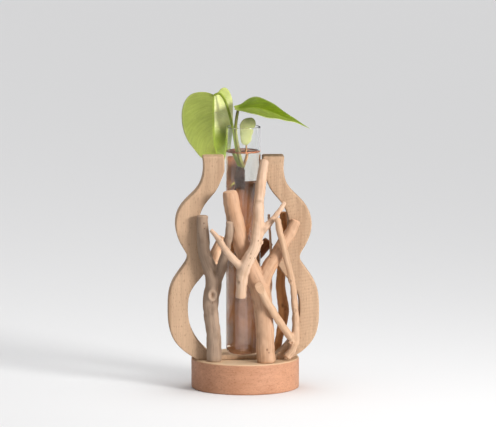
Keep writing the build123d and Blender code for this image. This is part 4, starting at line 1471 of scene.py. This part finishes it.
class VASE_OT_stem(bpy.types.Operator):
    """Rooting stem, new roots and leaf stalks"""
    bl_idname = "vase.stem"
    bl_label = "Stem and stalks"

    def execute(self, context):
        root = self.add_stem()
        self.add_stalks()
        for number in range(sizes().roots):
            skin = tube_skin(fine_root(number, 70), 12, (0.2, 0.8))
            add_piece(f"new_root_{number + 1}", skin, "cutting", root)
        return {"FINISHED"}

    def add_stem(self):
        """The stem's node and its short pale root. Gives back the stem's material.

        The node swells a little below its middle and is lumpy all over.
        """
        brown = colours().root_brown
        root = stalk_skin("rooting_tissue", brown, shade(brown, 0.45)[:3], 3.0)
        young = stalk_skin("young_root", linear("#b8b04a"), brown, 3.0)
        line = cutting_line(stem_line, stem_girth, 60)
        share = np.linspace(0, 1, len(line))
        line[:, 3] *= 1 + 0.14 * np.exp(-((share - 0.45) / 0.08) ** 2)
        points, quads, triangles = tube_skin(line, 48, (0.5, 0.3))
        lumps = 0.26 * ripple(points, 3.4, 81) + 0.12 * ripple(points, 1.5, 82)
        points = points + skin_normals(points, quads) * lumps[:, None]
        add_piece("stem_node", (points, quads, triangles), "cutting", root, ("cutting_stem",))
        skin = tube_skin(cutting_line(root_line, root_girth, 24), 20, (0.4, 0.9))
        add_piece("pale_root", skin, "cutting", young, ("root_tip",))
        return root

    def add_stalks(self):
        """The three leaves' stalks."""
        set_to = colours()
        for name, colour, dark, length in (
            ("large", set_to.stalk_green, "#6f7d25", 9.0), ("right", set_to.stalk_olive, "#5a4028", 14.0),
            ("small", set_to.stalk_brown, "#6a4a26", 9.0),
        ):
            node = name + "_petiole"
            tissue = stalk_skin(name + "_stalk_tissue", colour, linear(dark), length)
            girth, shares = stalks[node]
            skin = tube_skin(cutting_line(shares, girth, 90), 24, (0.3, 0.3))
            add_piece(node + "_stalk", skin, "cutting", tissue, (node,))


class VASE_OT_leaves(bpy.types.Operator):
    """The three leaves"""
    bl_idname = "vase.leaves"
    bl_label = "Leaves"

    def execute(self, context):
        set_to = colours()
        pale, deep, fresh = set_to.pale_green, set_to.deep_green, set_to.young_green
        grown = leaf_skin("waxy_leaf", set_to.leaf_green, pale, deep, 0.12)
        young = leaf_skin("young_leaf", fresh, fresh, deep, 0.12)
        for name, crown, wave, tones, material in (
            ("large", 1.0, 0.4, large_tones, grown), ("right", 1.0, 0.3, right_tones, grown),
            ("small", 0.8, 0.3, small_tones, young),
        ):
            skin, uv = blade_skin(*placed_lines(name), crown, wave)
            pale_and_painted_light_share, painted_shade_share = tones(uv[:, 0], uv[:, 1])
            values = {"pale": pale_and_painted_light_share, "deep": painted_shade_share}
            add_piece(name + "_blade", skin, "cutting", material, (name + "_leaf",), values, uv)
        return {"FINISHED"}


class VASE_PT_panel(bpy.types.Panel):
    """Lists the vase's pieces"""
    bl_idname = "VASE_PT_panel"
    bl_label = "Propagation vase"
    bl_space_type = "VIEW_3D"
    bl_region_type = "UI"
    bl_category = "Vase"

    def draw(self, context):
        for operator in OPERATORS:
            self.layout.operator(operator.bl_idname, text=operator.bl_label)


OPERATORS = (
    VASE_OT_stage, VASE_OT_disc, VASE_OT_board, VASE_OT_screws, VASE_OT_front_sticks, VASE_OT_rear_sticks,
    VASE_OT_tube, VASE_OT_stem, VASE_OT_leaves,
)
CLASSES = (VaseSizes, VaseColours, *OPERATORS, VASE_PT_panel)


def register():
    """Makes the classes and settings known to Blender."""
    for known in CLASSES:
        bpy.utils.register_class(known)
    bpy.types.Scene.vase_sizes = PointerProperty(type=VaseSizes)
    bpy.types.Scene.vase_colours = PointerProperty(type=VaseColours)


def unregister():
    """Removes the settings and classes again."""
    del bpy.types.Scene.vase_colours
    del bpy.types.Scene.vase_sizes
    for known in reversed(CLASSES):
        bpy.utils.unregister_class(known)


def main():
    """Builds every piece."""
    register()
    bpy.ops.vase.stage()
    bpy.ops.vase.disc()
    bpy.ops.vase.board()
    bpy.ops.vase.screws()
    bpy.ops.vase.front_sticks()
    bpy.ops.vase.rear_sticks()
    bpy.ops.vase.tube()
    bpy.ops.vase.stem()
    bpy.ops.vase.leaves()


if __name__ == "__main__":
    main()
